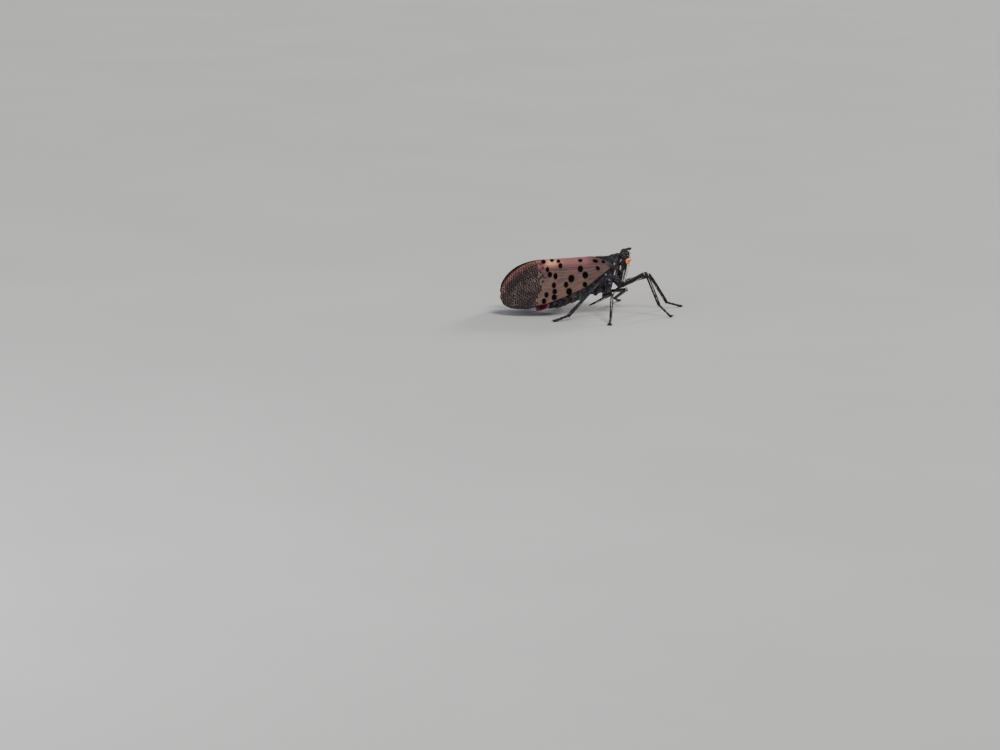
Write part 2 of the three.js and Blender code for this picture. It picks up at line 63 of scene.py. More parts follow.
class Side(Enum):
    """The two sides of the body, with the sign that Y has there."""

    LEFT = 1
    RIGHT = -1

    @property
    def word(self) -> str:
        """The side as it stands in the names of pieces."""
        return self.name.lower()


class Pair(Enum):
    """The three pairs of legs, from the head back."""

    FRONT = "front"
    MID = "mid"
    HIND = "hind"


# Numbers and surfaces


def spline(rows: Rows, at: np.ndarray) -> np.ndarray:
    """Reads rows of numbers as smooth curves.

    Args:
        rows: The rows, evenly spread from 0 to 1.
        at: The places to read, from 0 to 1.

    Returns:
        One row of numbers for each place.
    """
    table = np.asarray(rows, float)
    last = len(table) - 1
    place = np.clip(np.asarray(at, float), 0, 1) * last
    span = np.minimum(place.astype(int), last - 1)
    u = (place - span)[:, None]
    a, b, c, d = (table[np.clip(span + k, 0, last)] for k in (-1, 0, 1, 2))
    bend = 2 * a - 5 * b + 4 * c - d
    twist = 3 * b - a - 3 * c + d
    return 0.5 * (2 * b + (c - a) * u + bend * u**2 + twist * u**3)


def unit(vectors: np.ndarray) -> np.ndarray:
    """Vectors scaled to length 1."""
    return vectors / np.maximum(np.linalg.norm(vectors, axis=-1, keepdims=True), 1e-12)


def smooth(low: float, high: float, x: np.ndarray) -> np.ndarray:
    """A soft step from 0 at low to 1 at high."""
    t = np.clip((x - low) / (high - low), 0, 1)
    return t * t * (3 - 2 * t)


def hump(distance: np.ndarray, width: float) -> np.ndarray:
    """A bell that is 1 at no distance and dies away past the width."""
    return np.exp(-((distance / width) ** 2))


def superround(angle: np.ndarray, squareness: float) -> tuple[np.ndarray, np.ndarray]:
    """Cosine and sine of an angle, bent towards a square.

    Args:
        angle: The angles, in radians.
        squareness: Over 1 fills the corners.

    Returns:
        The two arrays.
    """
    c, s = np.cos(angle), np.sin(angle)
    power = 1 / squareness
    return np.sign(c) * np.abs(c) ** power, np.sign(s) * np.abs(s) ** power


@dataclass
class Shell:
    """A closed surface: points in millimetres and faces that point outwards."""

    points: np.ndarray
    faces: list[tuple[int, ...]]

    def __post_init__(self) -> None:
        """Turns the faces outwards."""
        volume = 0.0
        for n in {len(f) for f in self.faces}:
            corners = self.points[np.array([f for f in self.faces if len(f) == n])]
            for k in range(1, n - 1):
                cross = np.cross(corners[:, k], corners[:, k + 1])
                volume += float(np.einsum("ij,ij->", corners[:, 0], cross))
        if volume < 0:
            self.faces = [f[::-1] for f in self.faces]

    def on(self, side: Side) -> "Shell":
        """The same shell, made for the left, on the given side."""
        return Shell(self.points * (1, side.value, 1), list(self.faces))


def joined(shells: Sequence[Shell]) -> Shell:
    """Puts shells together in one list of points and faces, without merging them.

    Args:
        shells: The shells, which may overlap.

    Returns:
        One shell of them all.
    """
    points, faces, first = [], [], 0
    for shell in shells:
        points.append(shell.points)
        faces += [tuple(i + first for i in f) for f in shell.faces]
        first += len(shell.points)
    whole = Shell(np.zeros((0, 3)), [])
    whole.points, whole.faces = np.vstack(points), faces
    return whole


def loft(rings: np.ndarray, dome: float = 0.0) -> Shell:
    """Closes rings of points into a shell.

    Args:
        rings: The rings, as ring by point by coordinate.
        dome: How far the middles of both ends stand out, in millimetres.

    Returns:
        The closed shell.
    """
    count, around = rings.shape[:2]
    centres = rings.mean(axis=1)
    ends = [
        centres[0] + dome * unit(centres[0] - centres[1]),
        centres[-1] + dome * unit(centres[-1] - centres[-2]),
    ]
    i, j = np.meshgrid(np.arange(count - 1), np.arange(around), indexing="ij")
    a, b = i * around + j, i * around + (j + 1) % around
    faces = [tuple(f) for f in np.stack([a, b, b + around, a + around], -1).reshape(-1, 4).tolist()]
    first, last, top = count * around, count * around + 1, (count - 1) * around
    for k in range(around):
        after = (k + 1) % around
        faces += [(first, after, k), (last, top + k, top + after)]
    return Shell(np.vstack([rings.reshape(-1, 3), *ends]), faces)


def plate(top: np.ndarray, bottom: np.ndarray) -> Shell:
    """Closes two grids of points into a thin sheet with walls round its rim.

    Args:
        top: One face, as row by column by coordinate.
        bottom: The other face, of the same size.

    Returns:
        The closed sheet.
    """
    rows, columns = top.shape[:2]
    under = rows * columns
    i, j = np.meshgrid(np.arange(rows - 1), np.arange(columns - 1), indexing="ij")
    a = i * columns + j
    quads = np.stack([a, a + 1, a + columns + 1, a + columns], -1).reshape(-1, 4)
    faces = quads.tolist() + (quads[:, ::-1] + under).tolist()
    rim = [
        *range(columns),
        *(r * columns + columns - 1 for r in range(1, rows)),
        *((rows - 1) * columns + c for c in range(columns - 2, -1, -1)),
        *(r * columns for r in range(rows - 2, 0, -1)),
    ]
    for k, p in enumerate(rim):
        q = rim[(k + 1) % len(rim)]
        faces.append([q, p, p + under, q + under])
    return Shell(np.vstack([top.reshape(-1, 3), bottom.reshape(-1, 3)]), [tuple(f) for f in faces])


def body_rings(
    rows: Rows,
    up: Sequence[float],
    count: int,
    sides: int,
    squareness: float = 1.0,
    relief: Callable[[np.ndarray, np.ndarray], np.ndarray] | None = None,
) -> np.ndarray:
    """Rings of a body part whose cross-sections stand upright to its length.

    Args:
        rows: [x, y, z, half width, half height] from end to end.
        up: The direction of the half heights.
        count: How many rings.
        sides: How many points a ring has. The first is on the left, the next ones towards up.
        squareness: Over 1 fills the corners of the rings.
        relief: Gives how far the surface stands out, from the share of the length and the angle.

    Returns:
        The rings, as ring by point by coordinate.
    """
    share = np.linspace(0, 1, count)
    read = spline(rows, share)
    angle = np.linspace(0, 2 * math.pi, sides, endpoint=False)
    c, s = superround(angle, squareness)
    out = read[:, 3, None, None] * c[None, :, None] * np.array([0.0, 1.0, 0.0])
    out = out + read[:, 4, None, None] * s[None, :, None] * np.asarray(up, float)
    rings = read[:, None, :3] + out
    if relief is not None:
        rings = rings + relief(share[:, None], angle[None, :])[:, :, None] * unit(out)
    return rings


def ellipsoid(
    centre: Sequence[float], half: Sequence[float], around: int = 28, down: int = 18
) -> Shell:
    """A closed ellipsoid.

    Args:
        centre: Its middle.
        half: Its half sizes along X, Y and Z.
        around: How many points a ring has.
        down: How many steps lead from its top to its bottom.

    Returns:
        The closed shell.
    """
    polar = np.linspace(0, math.pi, down + 1)[1:-1]
    turn = np.linspace(0, 2 * math.pi, around, endpoint=False)
    x = np.sin(polar)[:, None] * np.cos(turn)
    y = np.sin(polar)[:, None] * np.sin(turn)
    z = np.cos(polar)[:, None] * np.ones(around)
    rings = np.stack([x, y, z], -1)
    ball = loft(rings)
    ball.points[-2:] = (0, 0, 1), (0, 0, -1)
    return Shell(ball.points * np.asarray(half) + np.asarray(centre), ball.faces)


def tube(stops: Rows, sides: int, steps: int) -> Shell:
    """A smooth tapered tube through [x, y, z, radius] stops, rounded at both ends.

    Args:
        stops: The stops, from end to end.
        sides: How many points a ring has.
        steps: How many rings.

    Returns:
        The closed tube.
    """
    read = spline(stops, np.linspace(0, 1, steps))
    way = unit(np.gradient(read[:, :3], axis=0))
    level = np.where(np.abs(way[:, 2:]) > 0.95, np.array([0.0, 1.0, 0.0]), np.array([0.0, 0.0, 1.0]))
    across = unit(np.cross(way, level))
    up = np.cross(across, way)
    angle = np.linspace(0, 2 * math.pi, sides, endpoint=False)
    radius = read[:, 3, None, None]
    out = across[:, None] * np.cos(angle)[:, None] + up[:, None] * np.sin(angle)[:, None]
    return loft(read[:, None, :3] + radius * out, dome=float(read[-1, 3]) * 0.6)


def along(points: Rows, step: float = 0.05) -> np.ndarray:
    """A line through points as evenly spaced points.

    Args:
        points: The points, from end to end.
        step: The space between the new points, in millimetres.

    Returns:
        The new points.
    """
    fine = spline(points, np.linspace(0, 1, 400))
    gone = np.concatenate([[0], np.cumsum(np.linalg.norm(np.diff(fine, axis=0), axis=1))])
    count = max(2, int(gone[-1] / step))
    even = np.linspace(0, gone[-1], count)
    return np.stack([np.interp(even, gone, fine[:, k]) for k in range(3)], 1)


# Blender meshes


def mesh_object(name: str, shell: Shell) -> bpy.types.Object:
    """Makes a smooth-shaded mesh object in millimetres from a shell.

    Args:
        name: The object's name.
        shell: Its surface.

    Returns:
        The object, in the scene.
    """
    mesh = bpy.data.meshes.new(name)
    mesh.from_pydata(shell.points.tolist(), [], shell.faces)
    mesh.shade_smooth()
    made = bpy.data.objects.new(name, mesh)
    bpy.context.scene.collection.objects.link(made)
    return made


def read_vectors(collection: Any, key: str) -> np.ndarray:
    """The vectors of a mesh collection as an array.

    Args:
        collection: The vertices or normals.
        key: Which of their vectors.

    Returns:
        One row for each.
    """
    flat = np.zeros(len(collection) * 3, np.float32)
    collection.foreach_get(key, flat)
    return flat.reshape(-1, 3).astype(float)


def store(made: bpy.types.Object, name: str, values: np.ndarray) -> None:
    """Keeps a number or a vector for each point of a mesh as a named attribute.

    Args:
        made: The object.
        name: The attribute's name.
        values: One number or one vector for each point.
    """
    kind, key = ("FLOAT", "value") if values.ndim == 1 else ("FLOAT_VECTOR", "vector")
    attribute = made.data.attributes.new(name, kind, "POINT")
    attribute.data.foreach_set(key, values.astype(np.float32).ravel())


def settle(made: bpy.types.Object) -> bpy.types.Object:
    """Applies an object's modifiers to its mesh.

    Args:
        made: The object.

    Returns:
        The same object.
    """
    graph = bpy.context.evaluated_depsgraph_get()
    graph.update()
    mesh = bpy.data.meshes.new_from_object(
        made.evaluated_get(graph), preserve_all_data_layers=True, depsgraph=graph
    )
    made.modifiers.clear()
    old = made.data
    made.data = mesh
    bpy.data.meshes.remove(old)
    return made


def merged(name: str, parts: Sequence[bpy.types.Object]) -> bpy.types.Object:
    """Joins objects into the first one, which gets the name.

    Args:
        name: The new name.
        parts: The objects.

    Returns:
        The first object.
    """
    with bpy.context.temp_override(
        active_object=parts[0], object=parts[0], selected_editable_objects=list(parts)
    ):
        bpy.ops.object.join()
    parts[0].name = name
    parts[0].data.name = name
    return parts[0]


@dataclass
class Trace:
    """A line that a skin rises or sinks along, and that its finish may pick out in a pale colour."""

    line: np.ndarray
    width: float
    rise: float = 0.0
    pale: float = 0.0
    taper: float = 0.2


@dataclass
class Skin:
    """One closed skin drawn over shells that overlap, thinned to a share of its triangles."""

    name: str
    shells: list[Shell]
    traces: list[Trace]
    voxel: float
    keep: float = 1.0
    softening: int = 3

    def build(self) -> bpy.types.Object:
        """Draws the skin over its shells and works its traces into it.

        Returns:
            The skin, in millimetres.
        """
        made = mesh_object(self.name, joined(self.shells))
        wrap = made.modifiers.new("wrap", "REMESH")
        wrap.mode = "VOXEL"
        wrap.voxel_size = self.voxel
        wrap.use_smooth_shade = True
        soften = made.modifiers.new("soften", "SMOOTH")
        soften.factor = 0.5
        soften.iterations = self.softening
        settle(made)
        self.work_traces(made)
        if self.keep < 1:
            thin = made.modifiers.new("thin", "DECIMATE")
            thin.ratio = self.keep
            settle(made)
        return made

    def work_traces(self, made: bpy.types.Object) -> None:
        """Raises or sinks the skin along its traces and stores how pale they make it.

        Args:
            made: The skin.
        """
        points = read_vectors(made.data.vertices, "co")
        normals = read_vectors(made.data.vertex_normals, "vector")
        rise = np.zeros(len(points))
        pale = np.zeros(len(points))
        for trace in self.traces:
            line = along(trace.line, min(0.06, trace.width * 0.4))
            reach = trace.width * 2.6
            close = np.all((points > line.min(0) - reach) & (points < line.max(0) + reach), axis=1)
            index = np.flatnonzero(close)
            if not len(index):
                continue
            gap, nearest = np.full(len(index), 9.0), np.zeros(len(index))
            for start in range(0, len(line), 60):
                apart = np.linalg.norm(line[None, start : start + 60] - points[index][:, None], axis=2)
                closer = apart.min(1) < gap
                nearest[closer] = start + apart.argmin(1)[closer]
                gap = np.minimum(gap, apart.min(1))
            share = nearest / (len(line) - 1)
            full = 1.0 if not trace.taper else smooth(0, trace.taper, np.minimum(share, 1 - share))
            width = trace.width * (0.45 + 0.55 * full)
            rise[index] += trace.rise * full * hump(gap, width)
            pale[index] = np.maximum(pale[index], trace.pale * full * hump(gap, width * 0.9))
        points += normals * rise[:, None]
        made.data.vertices.foreach_set("co", points.astype(np.float32).ravel())
        made.data.update()
        # How pale: pale ridges and lines, which also carry painted rim highlights.
        store(made, "pale", pale)


class Finish(Protocol):
    """A finish that can make its material."""

    def material(self) -> bpy.types.Material:
        """Builds the finish as a Blender material.

        Returns:
            The material.
        """


@dataclass
class Bench:
    """Writes millimetre pieces in metres, where the CAD model stands, and finishes them."""

    shift: Vector

    @classmethod
    def from_frame(cls, eye: Sequence[float]) -> "Bench":
        """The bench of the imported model, found by the middle of its left eye in millimetres."""
        low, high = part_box("eye_left")
        return cls((low + high) / 2 - Vector(eye) * MM)

    def place(self, point: Sequence[float]) -> Vector:
        """A point in millimetres as a point in metres in the CAD model's frame."""
        return Vector(point) * MM + self.shift

    def deliver(
        self, made: bpy.types.Object, finish: "Finish", slot: str, nodes: Sequence[str]
    ) -> None:
        """Finishes a piece and hides the CAD nodes it stands for.

        Args:
            made: The piece, in millimetres.
            finish: Its finish.
            slot: Not used.
            nodes: The CAD nodes it stands for.
        """
        made.data.transform(Matrix.Translation(self.shift) @ Matrix.Scale(MM, 4))
        made.data.materials.clear()
        made.data.materials.append(finish.material())
        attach(made, "root")
        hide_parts(*nodes)
        LOG.info("%s: %d faces", made.name, len(made.data.polygons))


# Geometry Nodes


class Tree:
    """A node tree that is built node by node."""

    def __init__(self, tree: bpy.types.NodeTree) -> None:
        """Takes up a tree."""
        self.tree = tree

    def node(self, kind: str, feeds: dict[str | int, Any], **settings: Any) -> bpy.types.Node:
        """Adds a node.

        Args:
            kind: Its kind.
            feeds: A socket to link or a value to set, for each input by name or number.
            **settings: Its settings.

        Returns:
            The node.
        """
        made = self.tree.nodes.new(kind)
        for key, value in settings.items():
            setattr(made, key, value)
        self.feed(made, feeds)
        return made

    def feed(self, node: bpy.types.Node, feeds: dict[str | int, Any]) -> None:
        """Feeds a node's inputs.

        Args:
            node: The node.
            feeds: A socket to link or a value to set, for each input by name or number.
        """
        for key, value in feeds.items():
            if isinstance(value, bpy.types.NodeSocket):
                self.tree.links.new(value, node.inputs[key])
            else:
                node.inputs[key].default_value = value


class Grower(Tree):
    """A Geometry Nodes tree with named inputs, run once on an object and turned into a mesh."""

    def __init__(self, name: str, sizes: dict[str, float | int]) -> None:
        """Starts a tree.

        Args:
            name: The tree's name.
            sizes: Its named inputs and their values.
        """
        super().__init__(bpy.data.node_groups.new(name, "GeometryNodeTree"))
        self.sizes = sizes
        face = self.tree.interface
        face.new_socket("Geometry", in_out="INPUT", socket_type="NodeSocketGeometry")
        face.new_socket("Geometry", in_out="OUTPUT", socket_type="NodeSocketGeometry")
        for key, value in sizes.items():
            kind = "NodeSocketInt" if isinstance(value, int) else "NodeSocketFloat"
            face.new_socket(key, in_out="INPUT", socket_type=kind)
        self.start = self.tree.nodes.new("NodeGroupInput")
        self.end = self.tree.nodes.new("NodeGroupOutput")

    def size(self, name: str) -> bpy.types.NodeSocket:
        """The socket of a named input."""
        return self.start.outputs[name]

    def finish(self, instances: bpy.types.NodeSocket, keep: bool) -> None:
        """Ends the tree in realized instances with a material.

        Args:
            instances: What was grown.
            keep: Whether the geometry that it grows on stays too.
        """
        if keep:
            both = self.node("GeometryNodeJoinGeometry", {0: self.start.outputs["Geometry"]})
            self.tree.links.new(instances, both.inputs[0])
            instances = both.outputs[0]
        real = self.node("GeometryNodeRealizeInstances", {0: instances})
        stuff = bpy.data.materials.get("growing") or bpy.data.materials.new("growing")
        dressed = self.node("GeometryNodeSetMaterial", {0: real.outputs[0], "Material": stuff})
        self.tree.links.new(dressed.outputs[0], self.end.inputs[0])

    def grow(self, on: bpy.types.Object) -> bpy.types.Object:
        """Runs the tree on an object and leaves the result as its plain mesh.

        Args:
            on: The object.

        Returns:
            The same object.
        """
        growth = on.modifiers.new("grow", "NODES")
        growth.node_group = self.tree
        for item in self.tree.interface.items_tree:
            if item.in_out == "INPUT" and item.name in self.sizes:
                growth[item.identifier] = self.sizes[item.name]
        return settle(on)


@dataclass
class Bristles:
    """Fine tapered hairs that grow on a skin and lean along it."""

    density: float
    length: float
    radius: float
    lean: float
    seed: int

    def grow(self, skin: bpy.types.Object) -> bpy.types.Object:
        """Grows the hairs on the skin, which stays.

        Args:
            skin: The object, which holds the way that they lean.

        Returns:
            The same object.
        """
        g = Grower(
            "bristles",
            {
                "Density": self.density,
                "Length": self.length,
                "Radius": self.radius,
                "Lean": self.lean,
                "Seed": self.seed,
            },
        )
        spread = g.node(
            "GeometryNodeDistributePointsOnFaces",
            {"Mesh": g.start.outputs["Geometry"], "Density": g.size("Density"), "Seed": g.size("Seed")},
        )
        lie = g.node("GeometryNodeInputNamedAttribute", {"Name": "lie"}, data_type="FLOAT_VECTOR")
        leaning = g.node(
            "ShaderNodeVectorMath", {0: lie.outputs[0], "Scale": g.size("Lean")}, operation="SCALE"
        )
        way = g.node("ShaderNodeVectorMath", {0: leaning.outputs[0], 1: spread.outputs["Normal"]})
        turn = g.node("FunctionNodeAlignRotationToVector", {"Vector": way.outputs[0]}, axis="Z")
        hair = g.node(
            "GeometryNodeMeshCone",
            {
                "Vertices": 4,
                "Side Segments": 1,
                "Fill Segments": 1,
                "Radius Top": 0.002,
                "Radius Bottom": g.size("Radius"),
                "Depth": g.size("Length"),
            },
        )
        grown = g.node("FunctionNodeRandomValue", {2: 0.55, 3: 1.15, "Seed": g.size("Seed")})
        placed = g.node(
            "GeometryNodeInstanceOnPoints",
            {
                "Points": spread.outputs["Points"],
                "Instance": hair.outputs["Mesh"],
                "Rotation": turn.outputs[0],
                "Scale": grown.outputs[1],
            },
        )
        g.finish(placed.outputs[0], keep=True)
        return g.grow(skin)


@dataclass
class Warts:
    """Small raised knobs spread evenly over a surface."""

    distance: float
    size: float
    seed: int

    def grow(self, skin: bpy.types.Object) -> bpy.types.Object:
        """Grows the knobs on the surface, which stays.

        Args:
            skin: The object.

        Returns:
            The same object.
        """
        g = Grower("warts", {"Distance": self.distance, "Size": self.size, "Seed": self.seed})
        spread = g.node(
            "GeometryNodeDistributePointsOnFaces",
            {
                "Mesh": g.start.outputs["Geometry"],
                "Distance Min": g.size("Distance"),
                "Density Max": 3000.0,
                "Seed": g.size("Seed"),
            },
            distribute_method="POISSON",
        )
        knob = g.node("GeometryNodeMeshIcoSphere", {"Radius": g.size("Size"), "Subdivisions": 2})
        placed = g.node(
            "GeometryNodeInstanceOnPoints",
            {
                "Points": spread.outputs["Points"],
                "Instance": knob.outputs["Mesh"],
                "Rotation": spread.outputs["Rotation"],
                "Scale": (1.0, 1.0, 0.7),
            },
        )
        g.finish(placed.outputs[0], keep=True)
        return g.grow(skin)


@dataclass
class Facets:
    """The domed facets of a compound eye, on a ball of radius 1."""

    rise: float
    top: float
    fineness: int = 5

    def grow(self, on: bpy.types.Object) -> bpy.types.Object:
        """Puts a faceted ball in the place of the object's mesh.

        Args:
            on: The object.

        Returns:
            The same object.
        """
        g = Grower("facets", {"Rise": self.rise, "Top": self.top, "Fineness": self.fineness})
        ball = g.node("GeometryNodeMeshIcoSphere", {"Radius": 1.0, "Subdivisions": g.size("Fineness")})
        hexes = g.node("GeometryNodeDualMesh", {0: ball.outputs["Mesh"]})
        domes = g.node(
            "GeometryNodeExtrudeMesh",
            {"Mesh": hexes.outputs[0], "Offset Scale": g.size("Rise"), "Individual": True},
            mode="FACES",
        )
        tops = g.node(
            "GeometryNodeScaleElements",
            {
                "Geometry": domes.outputs["Mesh"],
                "Selection": domes.outputs["Top"],
                "Scale": g.size("Top"),
            },
            domain="FACE",
        )
        g.finish(tops.outputs[0], keep=False)
        return g.grow(on)


# Finishes


class Paint(Tree):
    """Builds the nodes of one material."""

    def __init__(self, name: str) -> None:
        """Starts a material with a plain principled shader.

        Args:
            name: The material's name.
        """
        self.made = bpy.data.materials.new(name)
        self.made.use_nodes = True
        super().__init__(self.made.node_tree)
        self.shader = next(n for n in self.tree.nodes if n.type == "BSDF_PRINCIPLED")

    def shade(self, **feeds: Any) -> bpy.types.Material:
        """Sets or links the shader's inputs.

        Args:
            **feeds: A link or a value for each input, with underscores for spaces.

        Returns:
            The material.
        """
        named = {key.replace("_", " "): value for key, value in feeds.items()}
        for key, value in named.items():
            if isinstance(value, tuple) and self.shader.inputs[key].type == "RGBA":
                named[key] = (*value, 1.0)
        self.feed(self.shader, named)
        return self.made

    def place(self) -> bpy.types.NodeSocket:
        """Object coordinates in millimetres.

        Returns:
            The vector's socket.
        """
        where = self.node("ShaderNodeTexCoord", {})
        scaled = {0: where.outputs["Object"], "Scale": 1 / MM}
        return self.node("ShaderNodeVectorMath", scaled, operation="SCALE").outputs[0]

    def stored(self, name: str, output: str = "Fac") -> bpy.types.NodeSocket:
        """A number, or with output Vector a vector, that the mesh stores for each point."""
        return self.node("ShaderNodeAttribute", {}, attribute_name=name).outputs[output]

    def split(self, vector: Any) -> list[bpy.types.NodeSocket]:
        """The three numbers of a vector."""
        return list(self.node("ShaderNodeSeparateXYZ", {0: vector}).outputs)

    def vector(self, x: Any, y: Any, z: Any = 0.0) -> bpy.types.NodeSocket:
        """A vector of three numbers."""
        return self.node("ShaderNodeCombineXYZ", {0: x, 1: y, 2: z}).outputs[0]

    def math(self, operation: str, a: Any, b: Any = 0.0, c: Any = 0.0) -> bpy.types.NodeSocket:
        """A sum on numbers."""
        made = self.node("ShaderNodeMath", {0: a, 1: b, 2: c}, operation=operation)
        return made.outputs[0]

    def times(self, *factors: Any) -> bpy.types.NodeSocket:
        """The product of numbers.

        Args:
            *factors: The numbers.

        Returns:
            Their product.
        """
        product = factors[0]
        for factor in factors[1:]:
            product = self.math("MULTIPLY", product, factor)
        return product

    def step(self, value: Any, low: float, high: float, start: float = 0.0, end: float = 1.0) -> Any:
        """A soft step.

        Args:
            value: What is read.
            low: Where the step begins.
            high: Where it ends. Below low, it runs the other way.
            start: The result before it.
            end: The result after it.

        Returns:
            The result's socket.
        """
        if low > high:
            low, high, start, end = high, low, end, start
        feeds = {"Value": value, "From Min": low, "From Max": high, "To Min": start, "To Max": end}
        return self.node("ShaderNodeMapRange", feeds, interpolation_type="SMOOTHSTEP").outputs[0]

    def bell(self, value: Any, middle: float, width: float) -> bpy.types.NodeSocket:
        """A soft hump of height 1 round a middle value."""
        off = self.math("DIVIDE", self.math("SUBTRACT", value, middle), width)
        return self.math("POWER", math.e, self.math("MULTIPLY", self.times(off, off), -1.0))

    def stretch(self, vector: Any, by: Sequence[float]) -> bpy.types.NodeSocket:
        """A vector with each number multiplied."""
        feeds = {0: vector, 1: tuple(by)}
        return self.node("ShaderNodeVectorMath", feeds, operation="MULTIPLY").outputs[0]

    def noise(self, vector: Any, scale: float, detail: float = 3.0, rough: float = 0.55) -> Any:
        """Cloudy noise about 0.5."""
        feeds = {"Vector": vector, "Scale": scale, "Detail": detail, "Roughness": rough}
        return self.node("ShaderNodeTexNoise", feeds).outputs[0]

    def pits(self, vector: Any, scale: float) -> bpy.types.NodeSocket:
        """Distance from the middle of small round cells."""
        return self.node("ShaderNodeTexVoronoi", {"Vector": vector, "Scale": scale}).outputs[0]

    def mix(self, factor: Any, a: Any, b: Any) -> bpy.types.NodeSocket:
        """A colour between a and b.

        Args:
            factor: 0 for a and 1 for b.
            a: A colour.
            b: A colour.

        Returns:
            The mixed colour.
        """
        feeds = {0: factor}
        for key, value in ((6, a), (7, b)):
            feeds[key] = (*value, 1.0) if isinstance(value, tuple) else value
        made = self.node("ShaderNodeMix", feeds, data_type="RGBA")
        return made.outputs[2]

    def ragged_mark(self, mask: Any, at: Any, scale: float) -> bpy.types.NodeSocket:
        """A mask from 0 to 1 with its edges ragged by noise."""
        rough = self.step(self.noise(at, scale, 5.0, 0.7), 0.25, 0.75, 0.35, 1.65)
        return self.step(self.times(mask, rough), 0.28, 0.62)

    def bump(self, height: Any, depth: float) -> bpy.types.NodeSocket:
        """A bumped normal, with the depth in millimetres for a height from 0 to 1."""
        feeds = {"Height": height, "Distance": depth * MM, "Strength": 1.0}
        return self.node("ShaderNodeBump", feeds).outputs[0]


@dataclass(frozen=True)
class CuticleFinish:
    """Dark grey, finely pitted cuticle with cream ridges and marks that also carry painted rim highlights,
    and a banded abdomen with a bluish waxy bloom that is partly painted sky reflection.
    """

    dark: Colour = (0.007, 0.006, 0.009)
    grey: Colour = (0.047, 0.04, 0.06)
    highlight_cream: Colour = (0.9, 0.8, 0.68)
    highlight_tan: Colour = (0.44, 0.37, 0.33)
    black: Colour = (0.007, 0.006, 0.01)
    yellow: Colour = (0.13, 0.085, 0.03)
    wax_reflection_blue: Colour = (0.31, 0.32, 0.42)

    def material(self) -> bpy.types.Material:
        """Builds the finish as a Blender material.

        Returns:
            The material.
        """
        p = Paint("cuticle")
        at = p.place()
        cloud = p.noise(at, 1.3, 5.0, 0.62)
        grain = p.noise(at, 9.0, 3.0)
        skin = p.mix(p.step(cloud, 0.42, 0.68), self.dark, self.grey)
        skin = p.mix(p.step(grain, 0.45, 0.75, 0.0, 0.5), skin, self.dark)
        belly = p.stored("belly")
        band = p.stored("band")
        bloom = p.stored("bloom")
        plates = p.mix(p.times(band, p.step(cloud, 0.35, 0.65)), self.black, self.yellow)
        skin = p.mix(belly, skin, plates)
        # Partly painted sky reflection: a bluish wax tone on the lower sides.
        waxy_reflection = p.times(bloom, p.step(p.noise(at, 2.3, 6.0, 0.75), 0.5, 0.66))
        skin = p.mix(waxy_reflection, skin, self.wax_reflection_blue)
        pale_and_highlight = p.mix(p.step(p.noise(at, 2.6, 6.0, 0.7), 0.38, 0.56), self.highlight_tan, self.highlight_cream)
        # Pale ridges and marks: partly their own pale colour, partly painted rim highlights.
        skin = p.mix(p.ragged_mark(p.stored("pale"), at, 5.0), skin, pale_and_highlight)
        height = p.math("ADD", p.times(p.pits(at, 9.0), 0.8), p.times(grain, 0.7))
        shine = p.step(p.math("ADD", grain, p.times(waxy_reflection, 0.6)), 0.3, 1.0, 0.42, 0.8)
        return p.shade(
            Base_Color=skin, Roughness=shine, Specular_IOR_Level=0.3, Normal=p.bump(height, 0.03)
        )


@dataclass(frozen=True)
class LegFinish:
    """Near-black cuticle with pale edges that also carry painted rim highlights, grey between them."""

    dark: Colour = (0.006, 0.005, 0.007)
    grey: Colour = (0.03, 0.025, 0.032)
    highlight_cream: Colour = (0.78, 0.67, 0.6)
    highlight_tan: Colour = (0.36, 0.29, 0.26)

    def material(self) -> bpy.types.Material:
        """Builds the finish as a Blender material.

        Returns:
            The material.
        """
        p = Paint("leg")
        at = p.place()
        cloud = p.noise(at, 2.0, 4.0, 0.6)
        grain = p.noise(at, 12.0, 3.0)
        skin = p.mix(p.step(cloud, 0.42, 0.72), self.dark, self.grey)
        gaps = p.step(p.noise(at, 0.9, 2.0), 0.32, 0.5, 0.45, 1.0)
        # Pale edges: pale ridges that also carry painted rim highlights.
        broken = p.times(p.stored("pale"), gaps)
        pale_and_highlight = p.mix(p.step(p.noise(at, 3.0, 5.0, 0.7), 0.38, 0.58), self.highlight_tan, self.highlight_cream)
        skin = p.mix(p.ragged_mark(broken, at, 4.0), skin, pale_and_highlight)
        height = p.math("ADD", p.times(p.pits(at, 13.0), 0.7), grain)
        shine = p.step(grain, 0.3, 0.8, 0.36, 0.62)
        return p.shade(
            Base_Color=skin, Roughness=shine, Specular_IOR_Level=0.3, Normal=p.bump(height, 0.016)
        )


@dataclass(frozen=True)
class EyeFinish:
    """Dark maroon facets under a gloss."""

    dark: Colour = (0.006, 0.003, 0.004)
    maroon: Colour = (0.05, 0.008, 0.009)

    def material(self) -> bpy.types.Material:
        """Builds the finish as a Blender material.

        Returns:
            The material.
        """
        p = Paint("eye")
        at = p.place()
        bands = p.noise(p.stretch(at, (0.6, 1.0, 3.0)), 1.0, 2.0)
        grain = p.noise(at, 14.0, 2.0)
        tone = p.mix(p.step(bands, 0.4, 0.65), self.dark, self.maroon)
        return p.shade(
            Base_Color=p.mix(p.step(grain, 0.4, 0.8, 0.0, 0.4), tone, self.dark),
            Roughness=p.step(grain, 0.2, 0.8, 0.16, 0.3),
            Coat_Weight=0.5,
            Coat_Roughness=0.12,
            Normal=p.bump(grain, 0.004),
        )


